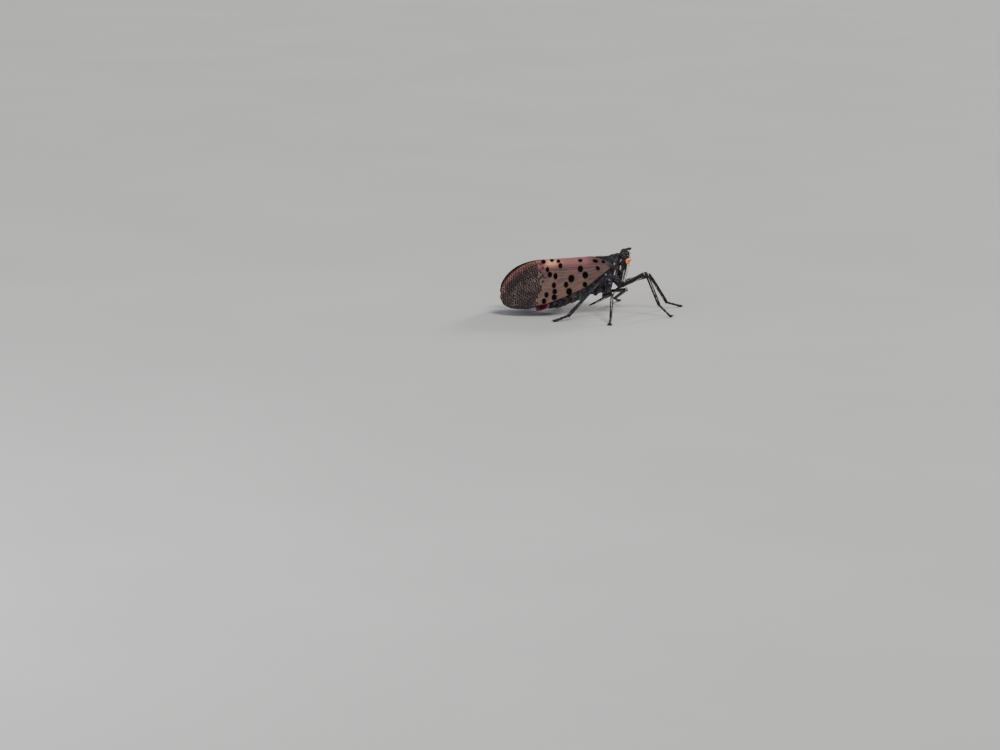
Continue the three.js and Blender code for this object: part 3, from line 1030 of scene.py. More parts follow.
@dataclass(frozen=True)
class AntennaFinish:
    """Bright orange, redder at the collar and dark along the bristle."""

    orange: Colour = (0.9, 0.27, 0.03)
    light: Colour = (1.0, 0.5, 0.12)
    red: Colour = (0.42, 0.035, 0.012)
    dark: Colour = (0.05, 0.02, 0.015)

    def material(self) -> bpy.types.Material:
        """Builds the finish as a Blender material.

        Returns:
            The material.
        """
        p = Paint("antenna")
        at = p.place()
        cloud = p.noise(at, 3.5, 3.0)
        part = p.stored("part")
        tone = p.mix(p.step(cloud, 0.35, 0.65), self.orange, self.light)
        tone = p.mix(p.step(part, 0.6, 0.1), tone, self.red)
        tone = p.mix(p.step(part, 1.3, 1.8), tone, self.dark)
        grain = p.noise(at, 16.0, 3.0)
        return p.shade(
            Base_Color=tone,
            Roughness=p.step(grain, 0.3, 0.8, 0.36, 0.6),
            Subsurface_Weight=0.15,
            Subsurface_Radius=(0.0004, 0.0002, 0.0001),
            Normal=p.bump(grain, 0.01),
        )


@dataclass(frozen=True)
class ForewingFinish:
    """Grey-tan wing with a salmon band along the back, black spots and a dark netted end.

    The mesh holds where it is on the flattened wing: millimetres along it, down it and in from
    its upper edge. A spot is its middle along and down, and its half length and half height. The
    dark end is laid like uneven brickwork, whose rows run down the wing.
    """

    tan: Colour = (0.155, 0.088, 0.068)
    grey: Colour = (0.074, 0.049, 0.051)
    mauve: Colour = (0.13, 0.05, 0.062)
    salmon: Colour = (0.32, 0.13, 0.13)
    base: Colour = (0.092, 0.057, 0.051)
    blush: Colour = (0.22, 0.045, 0.065)
    shoulder: Colour = (0.012, 0.009, 0.009)
    brick: float = 0.6
    row: float = 0.36
    wall: float = 0.052
    border: float = -8.15
    peach_highlight: Colour = (1.0, 0.48, 0.24)
    vein: Colour = (0.25, 0.15, 0.11)
    spot: Colour = (0.0025, 0.001, 0.001)
    cell: Colour = (0.015, 0.008, 0.009)
    net: Colour = (0.2, 0.142, 0.122)
    rust: Colour = (0.42, 0.175, 0.135)
    margin: Colour = (0.03, 0.016, 0.02)
    spots: ClassVar[Rows] = (
        (-7.9, 1.2, 0.38, 0.48),
        (-6.35, 0.9, 0.32, 0.42),
        (-5.15, 1.2, 0.3, 0.42),
        (-1.13, 1.24, 0.36, 0.44),
        (1.62, 1.23, 0.43, 0.48),
        (3.07, 1.04, 0.3, 0.46),
        (-4.8, 2.43, 0.33, 0.61),
        (-7.18, 3.19, 0.27, 0.56),
        (-6.75, 4.32, 0.36, 0.53),
        (-5.72, 4.76, 0.34, 0.61),
        (-1.14, 3.48, 0.43, 0.7),
        (-0.27, 4.88, 0.47, 0.68),
        (2.03, 2.99, 0.33, 0.43),
        (-2.83, 5.45, 0.5, 0.71),
        (-3.8, 6.59, 0.36, 0.53),
        (-6.01, 6.54, 0.34, 0.5),
        (-5.89, 7.75, 0.37, 0.47),
        (-5.98, 8.82, 0.43, 0.49),
        (-3.25, 7.9, 0.48, 0.57),
        (-0.35, 6.75, 0.37, 0.45),
        (-7.39, 8.24, 0.34, 0.48),
        (-7.84, 9.37, 0.36, 0.47),
    )

    def material(self) -> bpy.types.Material:
        """Builds the finish as a Blender material.

        Returns:
            The material.
        """
        p = Paint("forewing")
        at = p.place()
        flat = p.stored("flat", "Vector")
        u, v, inward = p.split(flat)
        cloud = p.noise(flat, 0.55, 4.0, 0.6)
        grain = p.noise(flat, 6.0, 4.0, 0.6)
        turn = p.math("ARCTAN2", p.math("SUBTRACT", v, 0.6), p.math("SUBTRACT", 7.5, u))
        streak = p.noise(p.vector(p.times(turn, 9.0), p.times(u, 0.16)), 2.2, 3.0)

        tone = p.mix(p.step(cloud, 0.38, 0.64), self.grey, self.tan)
        tone = p.mix(p.step(v, 4.6, 7.6, 0.0, 0.75), tone, self.tan)
        tone = p.mix(p.times(p.step(v, 5.4, 2.6), p.step(cloud, 0.3, 0.6), 0.8), tone, self.mauve)
        tone = p.mix(p.times(p.step(v, 3.2, 1.4), p.step(u, 2.6, -0.6)), tone, self.salmon)
        tone = p.mix(p.step(u, -0.8, 2.6, 0.0, 0.8), tone, self.base)
        joint = p.math("ADD", u, p.times(p.step(cloud, 0.3, 0.7), 1.6))
        tone = p.mix(p.step(joint, 3.9, 5.4, 0.0, 0.8), tone, self.shoulder)
        # Painted highlight: a peach glow near the wing's upper edge, towards its back.
        light = p.times(p.bell(u, -6.8, 1.6), p.bell(v, 1.5, 0.85))
        tone = p.mix(light, tone, self.peach_highlight)
        blushing = p.times(p.bell(u, -8.2, 0.75), p.step(v, 4.6, 2.4), p.step(cloud, 0.34, 0.56, 0.3, 1.0))
        tone = p.mix(blushing, tone, self.blush)
        tone = p.mix(p.times(p.step(streak, 0.5, 0.72), 0.3), tone, self.vein)
        tone = p.mix(p.step(grain, 0.5, 0.75, 0.0, 0.4), tone, self.grey)
        tone = p.mix(p.times(p.stored("vein"), 0.55), tone, self.vein)

        nudge = p.vector(p.times(grain, 0.12), 0.0)
        wavy = p.node("ShaderNodeVectorMath", {0: flat, 1: nudge}).outputs[0]
        nearest = None
        for middle_u, middle_v, half_u, half_v in self.spots:
            middle = (middle_u + 0.06, middle_v, 0.0)
            off = p.node("ShaderNodeVectorMath", {0: wavy, 1: middle}, operation="SUBTRACT").outputs[0]
            shaped = p.stretch(off, (1 / half_u, 1 / half_v, 0.0))
            length = p.node("ShaderNodeVectorMath", {0: shaped}, operation="LENGTH").outputs["Value"]
            nearest = length if nearest is None else p.math("MINIMUM", nearest, length)
        tone = p.mix(p.step(nearest, 1.7, 1.15, 0.0, 0.4), tone, self.grey)
        tone = p.mix(p.step(nearest, 1.2, 1.02), tone, self.spot)

        sway = p.math("ADD", p.times(p.noise(flat, 1.0, 1.0), 0.5), p.times(p.noise(flat, 3.2, 1.0), 0.12))
        along, across = p.math("ADD", u, sway), p.math("ADD", v, p.times(p.noise(flat, 1.6, 1.0), 0.6))
        bricks = p.node(
            "ShaderNodeTexBrick",
            {
                "Vector": p.vector(across, along),
                "Color1": (0.0, 0.0, 0.0, 1.0),
                "Color2": (1.0, 1.0, 1.0, 1.0),
                "Scale": 1.0,
                "Mortar Size": self.wall,
                "Mortar Smooth": 0.6,
                "Brick Width": self.brick,
                "Row Height": self.row,
            },
        )
        net, chance = bricks.outputs["Fac"], p.split(bricks.outputs["Color"])[0]
        row = p.times(p.math("ADD", p.math("FLOOR", p.math("DIVIDE", along, self.row)), 0.5), self.row)
        bulge = p.times(p.math("ABSOLUTE", p.math("SUBTRACT", v, 5.2)), 0.13)
        past = p.math("ADD", p.math("SUBTRACT", row, self.border + 0.3), bulge)
        strayed = p.math("ADD", past, p.times(p.math("SUBTRACT", chance, 0.5), 1.5))
        filled = p.times(p.step(strayed, 0.1, -0.1), p.step(net, 0.8, 0.3))
        rusty = p.times(p.step(inward, 1.7, 0.3), p.step(v, 10.0, 5.0, 0.2, 1.0))
        rusty = p.math("MAXIMUM", rusty, p.times(blushing, 0.7))
        lines = p.mix(rusty, p.mix(p.step(cloud, 0.4, 0.6), self.net, self.grey), self.rust)
        tone = p.mix(p.step(past, 0.4, -0.7), tone, lines)
        cell = p.mix(p.step(grain, 0.4, 0.7), self.cell, self.spot)
        tone = p.mix(filled, tone, p.mix(p.times(rusty, 0.16), cell, self.rust))
        rim = p.times(p.step(p.stored("rim"), 0.3, 0.14), p.step(u, -7.6, -8.4))
        tone = p.mix(rim, tone, self.margin)
        raised = p.times(p.step(past, 0.4, -0.4), net, 1.6)
        height = p.math("ADD", p.math("ADD", grain, raised), p.times(p.noise(at, 14.0, 2.0), 0.6))
        return p.shade(
            Base_Color=tone,
            Roughness=p.step(grain, 0.25, 0.8, 0.42, 0.66),
            Specular_IOR_Level=p.step(nearest, 1.02, 1.2, 0.05, 0.18),
            Normal=p.bump(height, 0.02),
        )


@dataclass(frozen=True)
class HindwingFinish:
    """Crimson with black spots, then a white band and a black netted end."""

    crimson: Colour = (0.2, 0.003, 0.026)
    deep: Colour = (0.045, 0.001, 0.004)
    spot: Colour = (0.006, 0.004, 0.005)
    white: Colour = (0.3, 0.33, 0.38)
    black: Colour = (0.012, 0.011, 0.016)

    def material(self) -> bpy.types.Material:
        """Builds the finish as a Blender material.

        Returns:
            The material.
        """
        p = Paint("hindwing")
        flat = p.stored("flat", "Vector")
        u, down, _ = p.split(flat)
        grain = p.noise(flat, 5.0, 4.0)
        edge = p.math("ADD", u, p.times(grain, 1.2))
        tone = p.mix(p.step(p.noise(flat, 0.9, 2.0), 0.4, 0.65), self.deep, self.crimson)
        tone = p.mix(p.step(p.pits(flat, 0.75), 0.32, 0.26), tone, self.spot)
        dusky = p.mix(p.step(p.noise(flat, 1.6, 4.0), 0.5, 0.68), self.black, self.white)
        strip = p.times(p.step(down, 4.4, 4.7), p.step(edge, -6.9, -6.5))
        tone = p.mix(strip, tone, dusky)
        tone = p.mix(p.step(edge, -8.6, -9.0), tone, self.white)
        tone = p.mix(p.step(edge, -10.6, -11.0), tone, self.black)
        tone = p.mix(p.times(p.stored("vein"), 0.4), tone, self.deep)
        return p.shade(
            Base_Color=tone,
            Roughness=p.step(grain, 0.3, 0.8, 0.4, 0.65),
            Specular_IOR_Level=0.12,
            Normal=p.bump(grain, 0.015),
        )


@dataclass(frozen=True)
class FloorFinish:
    """A plain pale studio floor."""

    pale: Colour = (0.58, 0.575, 0.565)
    paler: Colour = (0.61, 0.605, 0.595)

    def material(self) -> bpy.types.Material:
        """Builds the finish as a Blender material.

        Returns:
            The material.
        """
        p = Paint("floor")
        cloud = p.noise(p.place(), 0.02, 4.0)
        tone = p.mix(p.step(cloud, 0.3, 0.7), self.pale, self.paler)
        return p.shade(Base_Color=tone, Roughness=0.75, Normal=p.bump(p.noise(p.place(), 2.0), 0.01))


# The insect


@dataclass
class Trunk:
    """Head, collar, thorax, abdomen and the six coxae under one skin.

    Rows of a body part are x, y and z of its middle, half its width and half its depth. A mark is
    its stops, each a share of the part's length and a turn round it in degrees, then its width,
    its rise and how pale it is.
    """

    bench: Bench
    head_rows: Rows = (
        (6.2, 0, 4.75, 0.36, 0.32),
        (6.42, 0, 5.7, 0.62, 0.57),
        (6.6, 0, 6.9, 1.0, 0.86),
        (6.71, 0, 8.1, 1.35, 1.09),
        (6.86, 0, 9.3, 1.5, 1.24),
        (7.03, 0, 10.4, 1.45, 1.26),
        (7.3, 0, 11.2, 1.15, 1.08),
        (7.68, 0, 11.75, 0.76, 0.7),
        (8.0, 0, 12.05, 0.42, 0.36),
    )
    head_squareness: float = 1.15
    collar_rows: Rows = (
        (5.95, 0, 9.25, 1.7, 1.85),
        (5.6, 0, 8.8, 2.25, 2.2),
        (5.05, 0, 8.25, 2.6, 2.6),
        (4.4, 0, 7.8, 2.75, 2.9),
    )
    thorax_rows: Rows = (
        (4.4, 0, 7.65, 2.66, 2.85),
        (4.15, 0, 7.6, 2.8, 3.0),
        (3.2, 0, 7.2, 3.0, 3.3),
        (2.1, 0, 6.95, 3.05, 3.5),
        (1.1, 0, 6.85, 2.95, 3.5),
        (0.1, 0, 6.7, 2.75, 3.35),
        (-0.6, 0, 6.3, 2.4, 2.8),
    )
    abdomen_rows: Rows = (
        (-0.1, 0, 5.75, 2.75, 2.85),
        (-1.6, 0, 5.15, 3.15, 3.05),
        (-3.2, 0, 4.6, 3.3, 3.05),
        (-4.8, 0, 4.0, 3.2, 3.05),
        (-6.4, 0, 3.35, 2.75, 2.6),
        (-8.0, 0, 2.75, 2.0, 1.95),
        (-9.3, 0, 2.4, 1.2, 1.25),
        (-10.1, 0, 2.25, 0.45, 0.5),
    )
    # The pale values paint pale ridges and marks that also carry painted rim highlights.
    head_marks: Marks = (
        (((0.08, 66), (0.3, 58), (0.5, 55), (0.68, 55), (0.84, 60), (1.0, 74)), 0.17, 0.2, 1.0),
        (((0.1, 50), (0.3, 43), (0.5, 41), (0.68, 42), (0.84, 46), (0.99, 60)), 0.2, 0.02, 1.0),
        (((0.12, 12), (0.26, 8), (0.4, 14)), 0.1, 0.06, 0.95),
        (((0.47, -24), (0.42, -22), (0.37, -26)), 0.16, 0.05, 1.0),
        (((0.5, -42), (0.55, -30), (0.6, -18)), 0.07, 0.04, 0.9),
        (((0.86, -8), (0.82, 24), (0.76, 37), (0.69, 36)), 0.09, 0.06, 0.95),
        (((0.3, -40), (0.45, -52), (0.6, -60)), 0.1, -0.07, 0.0),
    )
    collar_marks: Marks = (
        (((0.15, 80), (0.5, 72), (0.95, 66)), 0.08, 0.06, 0.35),
        (((0.95, 70), (0.9, 40), (0.85, 5), (0.8, -30)), 0.1, -0.08, 0.0),
        (((0.1, 62), (0.5, 48), (0.85, 22)), 0.09, 0.05, 0.0),
        (((0.55, 30), (0.68, 22), (0.78, 12)), 0.11, 0.05, 0.66),
        (((0.5, -4), (0.6, -14), (0.66, -26)), 0.17, 0.05, 0.62),
        (((0.25, -12), (0.4, -28), (0.5, -50)), 0.08, -0.07, 0.0),
    )
    thorax_marks: Marks = (
        (((0.12, 72), (0.35, 78), (0.6, 86)), 0.1, 0.09, 0.45),
        (((0.1, 6), (0.25, -20), (0.3, -60)), 0.1, -0.09, 0.0),
        (((0.42, 14), (0.45, -25), (0.42, -70)), 0.1, -0.1, 0.0),
        (((0.68, 14), (0.66, -25), (0.6, -70)), 0.1, -0.09, 0.0),
        (((0.14, -14), (0.2, -30), (0.26, -40)), 0.14, 0.04, 0.6),
        (((0.5, -20), (0.54, -34), (0.52, -48)), 0.14, 0.04, 0.58),
        (((0.2, -46), (0.14, -58)), 0.16, 0.04, 0.6),
    )
    eye_rim: Sequence[float] = (7.12, 1.42, 10.92)
    eye_rim_half: Sequence[float] = (0.75, 0.7)
    eye_rim_thick: float = 0.1
    scale_centre: Sequence[float] = (4.7, 2.98, 9.0)
    scale_half: Sequence[float] = (0.68, 0.26, 0.5)
    scale_rim: Rows = ((5.25, 9.15), (4.9, 9.45), (4.4, 9.3), (4.2, 8.9), (4.5, 8.62))
    scale_out: float = 3.2
    antenna_socket: Rows = ((7.1, 1.1, 9.95, 0.42), (7.4, 1.45, 9.88, 0.36))
    ocellus: Sequence[float] = (7.86, 1.16, 10.5)
    ocellus_half: Sequence[float] = (0.13, 0.1, 0.13)
    abdomen_rings: int = 8
    ring_step: float = 0.17
    voxel: float = 0.064
    keep: float = 0.67

    def head_point(self, share: float, turn: float, side: int = 1) -> list[float]:
        """A point of the head.

        Args:
            share: Where it is on the head's height, from 0 to 1.
            turn: Degrees round it, 90 being ahead.
            side: 1 for the left and -1 for the right.

        Returns:
            The point.
        """
        x, _, z, a, b = spline(self.head_rows, np.array([share]))[0]
        c, s = superround(np.array([math.radians(turn)]), self.head_squareness)
        return [x + b * float(s[0]), side * a * float(c[0]), z]

    def round_point(self, rows: Rows, share: float, turn: float, side: int = 1) -> list[float]:
        """A point of the collar, thorax or abdomen.

        Args:
            rows: The part's rows.
            share: Where it is on the part's length, from 0 to 1.
            turn: Degrees round it, 90 on top and 0 at the side.
            side: 1 for the left and -1 for the right.

        Returns:
            The point.
        """
        x, _, z, a, b = spline(rows, np.array([share]))[0]
        angle = math.radians(turn)
        return [x, side * a * math.cos(angle), z + b * math.sin(angle)]

    def face_relief(self, share: np.ndarray, angle: np.ndarray) -> np.ndarray:
        """A hollow face between its side ridges, and hollow cheeks behind them.

        Args:
            share: The share of the head's height.
            angle: The angle round it.

        Returns:
            How far the surface stands out.
        """
        ahead = np.abs(angle - math.pi / 2)
        side = np.minimum(np.abs(angle - 0.3), np.abs(math.pi - 0.3 - angle))
        face = -0.24 * hump(ahead, 0.4) * smooth(0.12, 0.3, share) * smooth(1.0, 0.8, share)
        return face - 0.09 * hump(side, 0.22) * hump(share - 0.5, 0.22)

    def ring_relief(self, share: np.ndarray, angle: np.ndarray) -> np.ndarray:
        """Abdominal rings, each lapping over the next.

        Args:
            share: The share of the abdomen's length.
            angle: The angle round it.

        Returns:
            How far the surface stands out.
        """
        ring = (share * self.abdomen_rings) % 1
        saw = (ring - 0.5) * smooth(1.0, 0.93, ring)
        return self.ring_step * saw + 0 * angle

    def shells(self) -> list[Shell]:
        """The overlapping shells that the skin is drawn over.

        Returns:
            The shells.
        """
        ahead, up = (1, 0, 0), (0, 0, 1)
        head = body_rings(self.head_rows, ahead, 110, 72, self.head_squareness, self.face_relief)
        made = [
            loft(head, 0.12),
            loft(body_rings(self.collar_rows, up, 24, 96)),
            loft(body_rings(self.thorax_rows, up, 50, 96), 0.2),
            loft(body_rings(self.abdomen_rows, up, 190, 96, 1.0, self.ring_relief), 0.15),
        ]
        x, y, z = self.eye_rim
        wide, high = self.eye_rim_half
        turns = np.linspace(0, 2 * math.pi, 25)
        rim = [[x + wide * math.cos(a), y, z + high * math.sin(a), self.eye_rim_thick] for a in turns]
        for side in Side:
            made.append(tube(rim, 8, 64).on(side))
            made.append(ellipsoid(self.scale_centre, self.scale_half).on(side))
            made.append(tube(self.antenna_socket, 14, 8).on(side))
            made.append(ellipsoid(self.ocellus, self.ocellus_half, 16, 10).on(side))
        return made

    def traces(self) -> list[Trace]:
        """Ridges, seams and pale lines of the head, collar and thorax.

        Returns:
            The traces.
        """
        collar = partial(self.round_point, self.collar_rows)
        thorax = partial(self.round_point, self.thorax_rows)
        tables = (
            (self.head_marks, self.head_point, 0.1),
            (self.collar_marks, collar, 0.2),
            (self.thorax_marks, thorax, 0.2),
        )
        made = []
        for side in (1, -1):
            for marks, point, taper in tables:
                for stops, width, rise, pale in marks:
                    line = np.array([point(share, turn, side) for share, turn in stops])
                    made.append(Trace(line, width, rise, pale, taper))
            rim = np.array([(x, side * self.scale_out, z) for x, z in self.scale_rim])
            made.append(Trace(rim, 0.08, 0.06, 0.3))
        # Pale middle keels, which also carry painted rim highlights.
        for point, shares, width, rise, pale, taper in (
            (self.head_point, (0.55, 0.7, 0.85, 1.0), 0.1, 0.07, 0.5, 0.2),
            (collar, (0.0, 0.33, 0.66, 1.0), 0.17, 0.14, 1.0, 0.05),
            (thorax, (0.08, 0.3, 0.6, 0.9), 0.15, 0.11, 1.0, 0.05),
        ):
            middle = np.array([point(share, 90) for share in shares])
            made.append(Trace(middle, width, rise, pale, taper))
        return made

    def paint(self, made: bpy.types.Object) -> None:
        """Stores where the abdomen, its bands and the bluish bloom are, the bloom being partly wax and partly
        painted sky reflection.

        Args:
            made: The skin.
        """
        points = read_vectors(made.data.vertices, "co")
        x, y, z = points.T
        belly = smooth(0.1, -0.5, x)
        middle = np.interp(x, [-10.1, -0.1], [2.25, 5.75])
        ring = (np.interp(-x, [0.1, 10.1], [0, self.abdomen_rings])) % 1
        band = smooth(0.62, 0.8, ring) * smooth(0.9, 2.2, np.abs(y))
        # The bloom on the lower sides is partly wax and partly painted sky reflection.
        bloom = 0.8 * belly * smooth(1.0, -0.6, z - middle) + 0.6 * smooth(9.6, 6.8, z) * (1 - belly)
        store(made, "belly", belly)
        store(made, "band", band)
        store(made, "bloom", np.clip(bloom, 0, 1))

    def build(self, coxae: Sequence[Shell]) -> None:
        """Draws the skin over the trunk and the coxae and finishes it.

        Args:
            coxae: The shells of the six coxae.
        """
        made = Skin("trunk", [*self.shells(), *coxae], self.traces(), self.voxel, self.keep).build()
        self.paint(made)
        nodes = ["head", "collar", "thorax", "abdomen"]
        nodes += [f"shoulder_scale_{side.word}" for side in Side]
        nodes += [f"coxa_{pair.value}_{side.word}" for pair in Pair for side in Side]
        self.bench.deliver(made, CuticleFinish(), "cuticle", nodes)


@dataclass
class Eye:
    """A compound eye of domed facets."""

    bench: Bench
    side: Side
    centre: ClassVar[Sequence[float]] = (7.12, 1.46, 10.92)
    half: Sequence[float] = (0.68, 0.49, 0.64)
    facets: Facets = field(default_factory=lambda: Facets(rise=0.02, top=0.55))

    def build(self) -> None:
        """Makes and finishes the eye."""
        made = mesh_object(f"compound_eye_{self.side.word}", ellipsoid((0, 0, 0), (1, 1, 1), 8, 6))
        self.facets.grow(made)
        x, y, z = self.centre
        place = Matrix.Translation((x, self.side.value * y, z))
        made.data.transform(place @ Matrix.Diagonal((*self.half, 1)))
        made.data.shade_flat()
        self.bench.deliver(made, EyeFinish(), "eye", [f"eye_{self.side.word}"])


@dataclass
class Antenna:
    """A warty orange antenna on a short collar, with its fine bristle."""

    bench: Bench
    side: Side
    base: Sequence[float] = (7.3, 1.2, 9.9)
    ball: Sequence[float] = (7.62, 1.95, 9.83)
    half: Sequence[float] = (0.4, 0.41, 0.52)
    bristle: Rows = ((0, 0, 0.1, 0.16), (0.4, 1.1, 0.35, 0.05), (0.75, 2.0, 0.85, 0.018))
    warts: Warts = field(default_factory=lambda: Warts(distance=0.12, size=0.045, seed=4))

    def build(self) -> None:
        """Makes and finishes the antenna."""
        bx, by, bz = self.base
        cx, cy, cz = self.ball
        neck = [[bx - 0.1, by - 0.2, bz, 0.25], [bx + 0.1, by + 0.3, bz, 0.28], [cx, cy - 0.2, cz, 0.3]]
        knob = ellipsoid(self.ball, self.half, 40, 28)
        stops = [[cx + x, cy + y, cz + z, radius] for x, y, z, radius in self.bristle]
        parts = []
        for number, shell in enumerate((tube(neck, 20, 14), knob, tube(stops, 8, 30))):
            part = mesh_object(f"antenna_part_{number}", shell.on(self.side))
            store(part, "part", np.full(len(part.data.vertices), float(number)))
            if number == 1:
                self.warts.grow(part)
                values = np.ones(len(part.data.vertices), np.float32)
                part.data.attributes["part"].data.foreach_set("value", values)
                part.data.shade_smooth()
            parts.append(part)
        made = merged(f"feeler_{self.side.word}", parts)
        self.bench.deliver(made, AntennaFinish(), "antenna", [f"antenna_{self.side.word}"])


@dataclass
class Beak:
    """The jointed beak that lies back between the legs, grooved along its middle."""

    bench: Bench
    stops: Rows = (
        (6.05, 0, 4.6, 0.24),
        (4.6, 0, 3.35, 0.29),
        (2.6, 0, 2.25, 0.26),
        (0.6, 0, 1.25, 0.13),
    )

    def build(self) -> None:
        """Makes and finishes the beak."""
        line = np.array(self.stops)[:, :3]
        joints = []
        for k in (1, 2):
            across = np.array([line[k] + (0, -0.3, 0), line[k] + (0, 0.3, 0)])
            joints.append(Trace(across, 0.1, -0.05))
        groove = Trace(line + (0.1, 0, 0.27), 0.07, -0.06)
        # Pale edges that also carry painted rim highlights.
        edges = [Trace(line + (0, y, -0.06), 0.1, 0.03, 0.8) for y in (0.25, -0.25)]
        made = Skin("rostrum", [tube(self.stops, 24, 90)], [*joints, groove, *edges], 0.05).build()
        self.bench.deliver(made, LegFinish(), "leg", ["beak"])


@dataclass
class Limb:
    """A straight leg segment with an edged cross-section."""

    start: np.ndarray
    end: np.ndarray
    axis: np.ndarray
    profile: Rows
    squareness: float = 1.25

    def __post_init__(self) -> None:
        """Works out its directions."""
        self.way = self.end - self.start
        self.up = unit(np.cross(self.way, self.axis))
        self.across = unit(np.cross(self.up, self.way))

    def rings(self, shares: np.ndarray, angles: np.ndarray) -> np.ndarray:
        """Points of its surface.

        Args:
            shares: Shares of its length.
            angles: Angles round it, 90 degrees being outside the bend.

        Returns:
            The points, as share by angle by coordinate.
        """
        table = np.array(self.profile)
        a = np.interp(shares, table[:, 0], table[:, 1])[:, None, None]
        b = np.interp(shares, table[:, 0], table[:, 2])[:, None, None]
        c, s = superround(angles, self.squareness)
        centre = self.start + shares[:, None, None] * self.way
        return centre + a * c[None, :, None] * self.across + b * s[None, :, None] * self.up

    def shell(self, steps: int = 60, sides: int = 28) -> Shell:
        """The segment as a closed shell with rounded ends.

        Args:
            steps: How many rings.
            sides: How many points a ring has.

        Returns:
            The shell.
        """
        shares = np.linspace(0, 1, steps)
        angles = np.linspace(0, 2 * math.pi, sides, endpoint=False)
        return loft(self.rings(shares, angles), 0.12)

    def edge(self, degrees: float, first: float = 0.04, last: float = 0.96) -> np.ndarray:
        """A line along the segment at an angle."""
        return self.rings(np.linspace(first, last, 8), np.array([math.radians(degrees)]))[:, 0]

    def band(self, share: float, first: float, last: float) -> np.ndarray:
        """A line round the segment between two angles in degrees."""
        return self.rings(np.array([share]), np.radians(np.linspace(first, last, 6)))[0]


@dataclass
class Stance:
    """Where a leg stands: its ankle, the way its toes point and the way its knee is raised."""

    ankle: Sequence[float]
    toes: float
    knee: Sequence[float]


@dataclass
class LegSizes:
    """What the left and right legs of a pair share, for the left side."""

    root: Sequence[float]
    hip: Sequence[float]
    femur: float
    tibia: float
    tarsus: float
    femur_profile: Rows
    tibia_profile: Rows
    femur_edges: Rows
    tibia_edges: Rows
    girth: float = 1.0


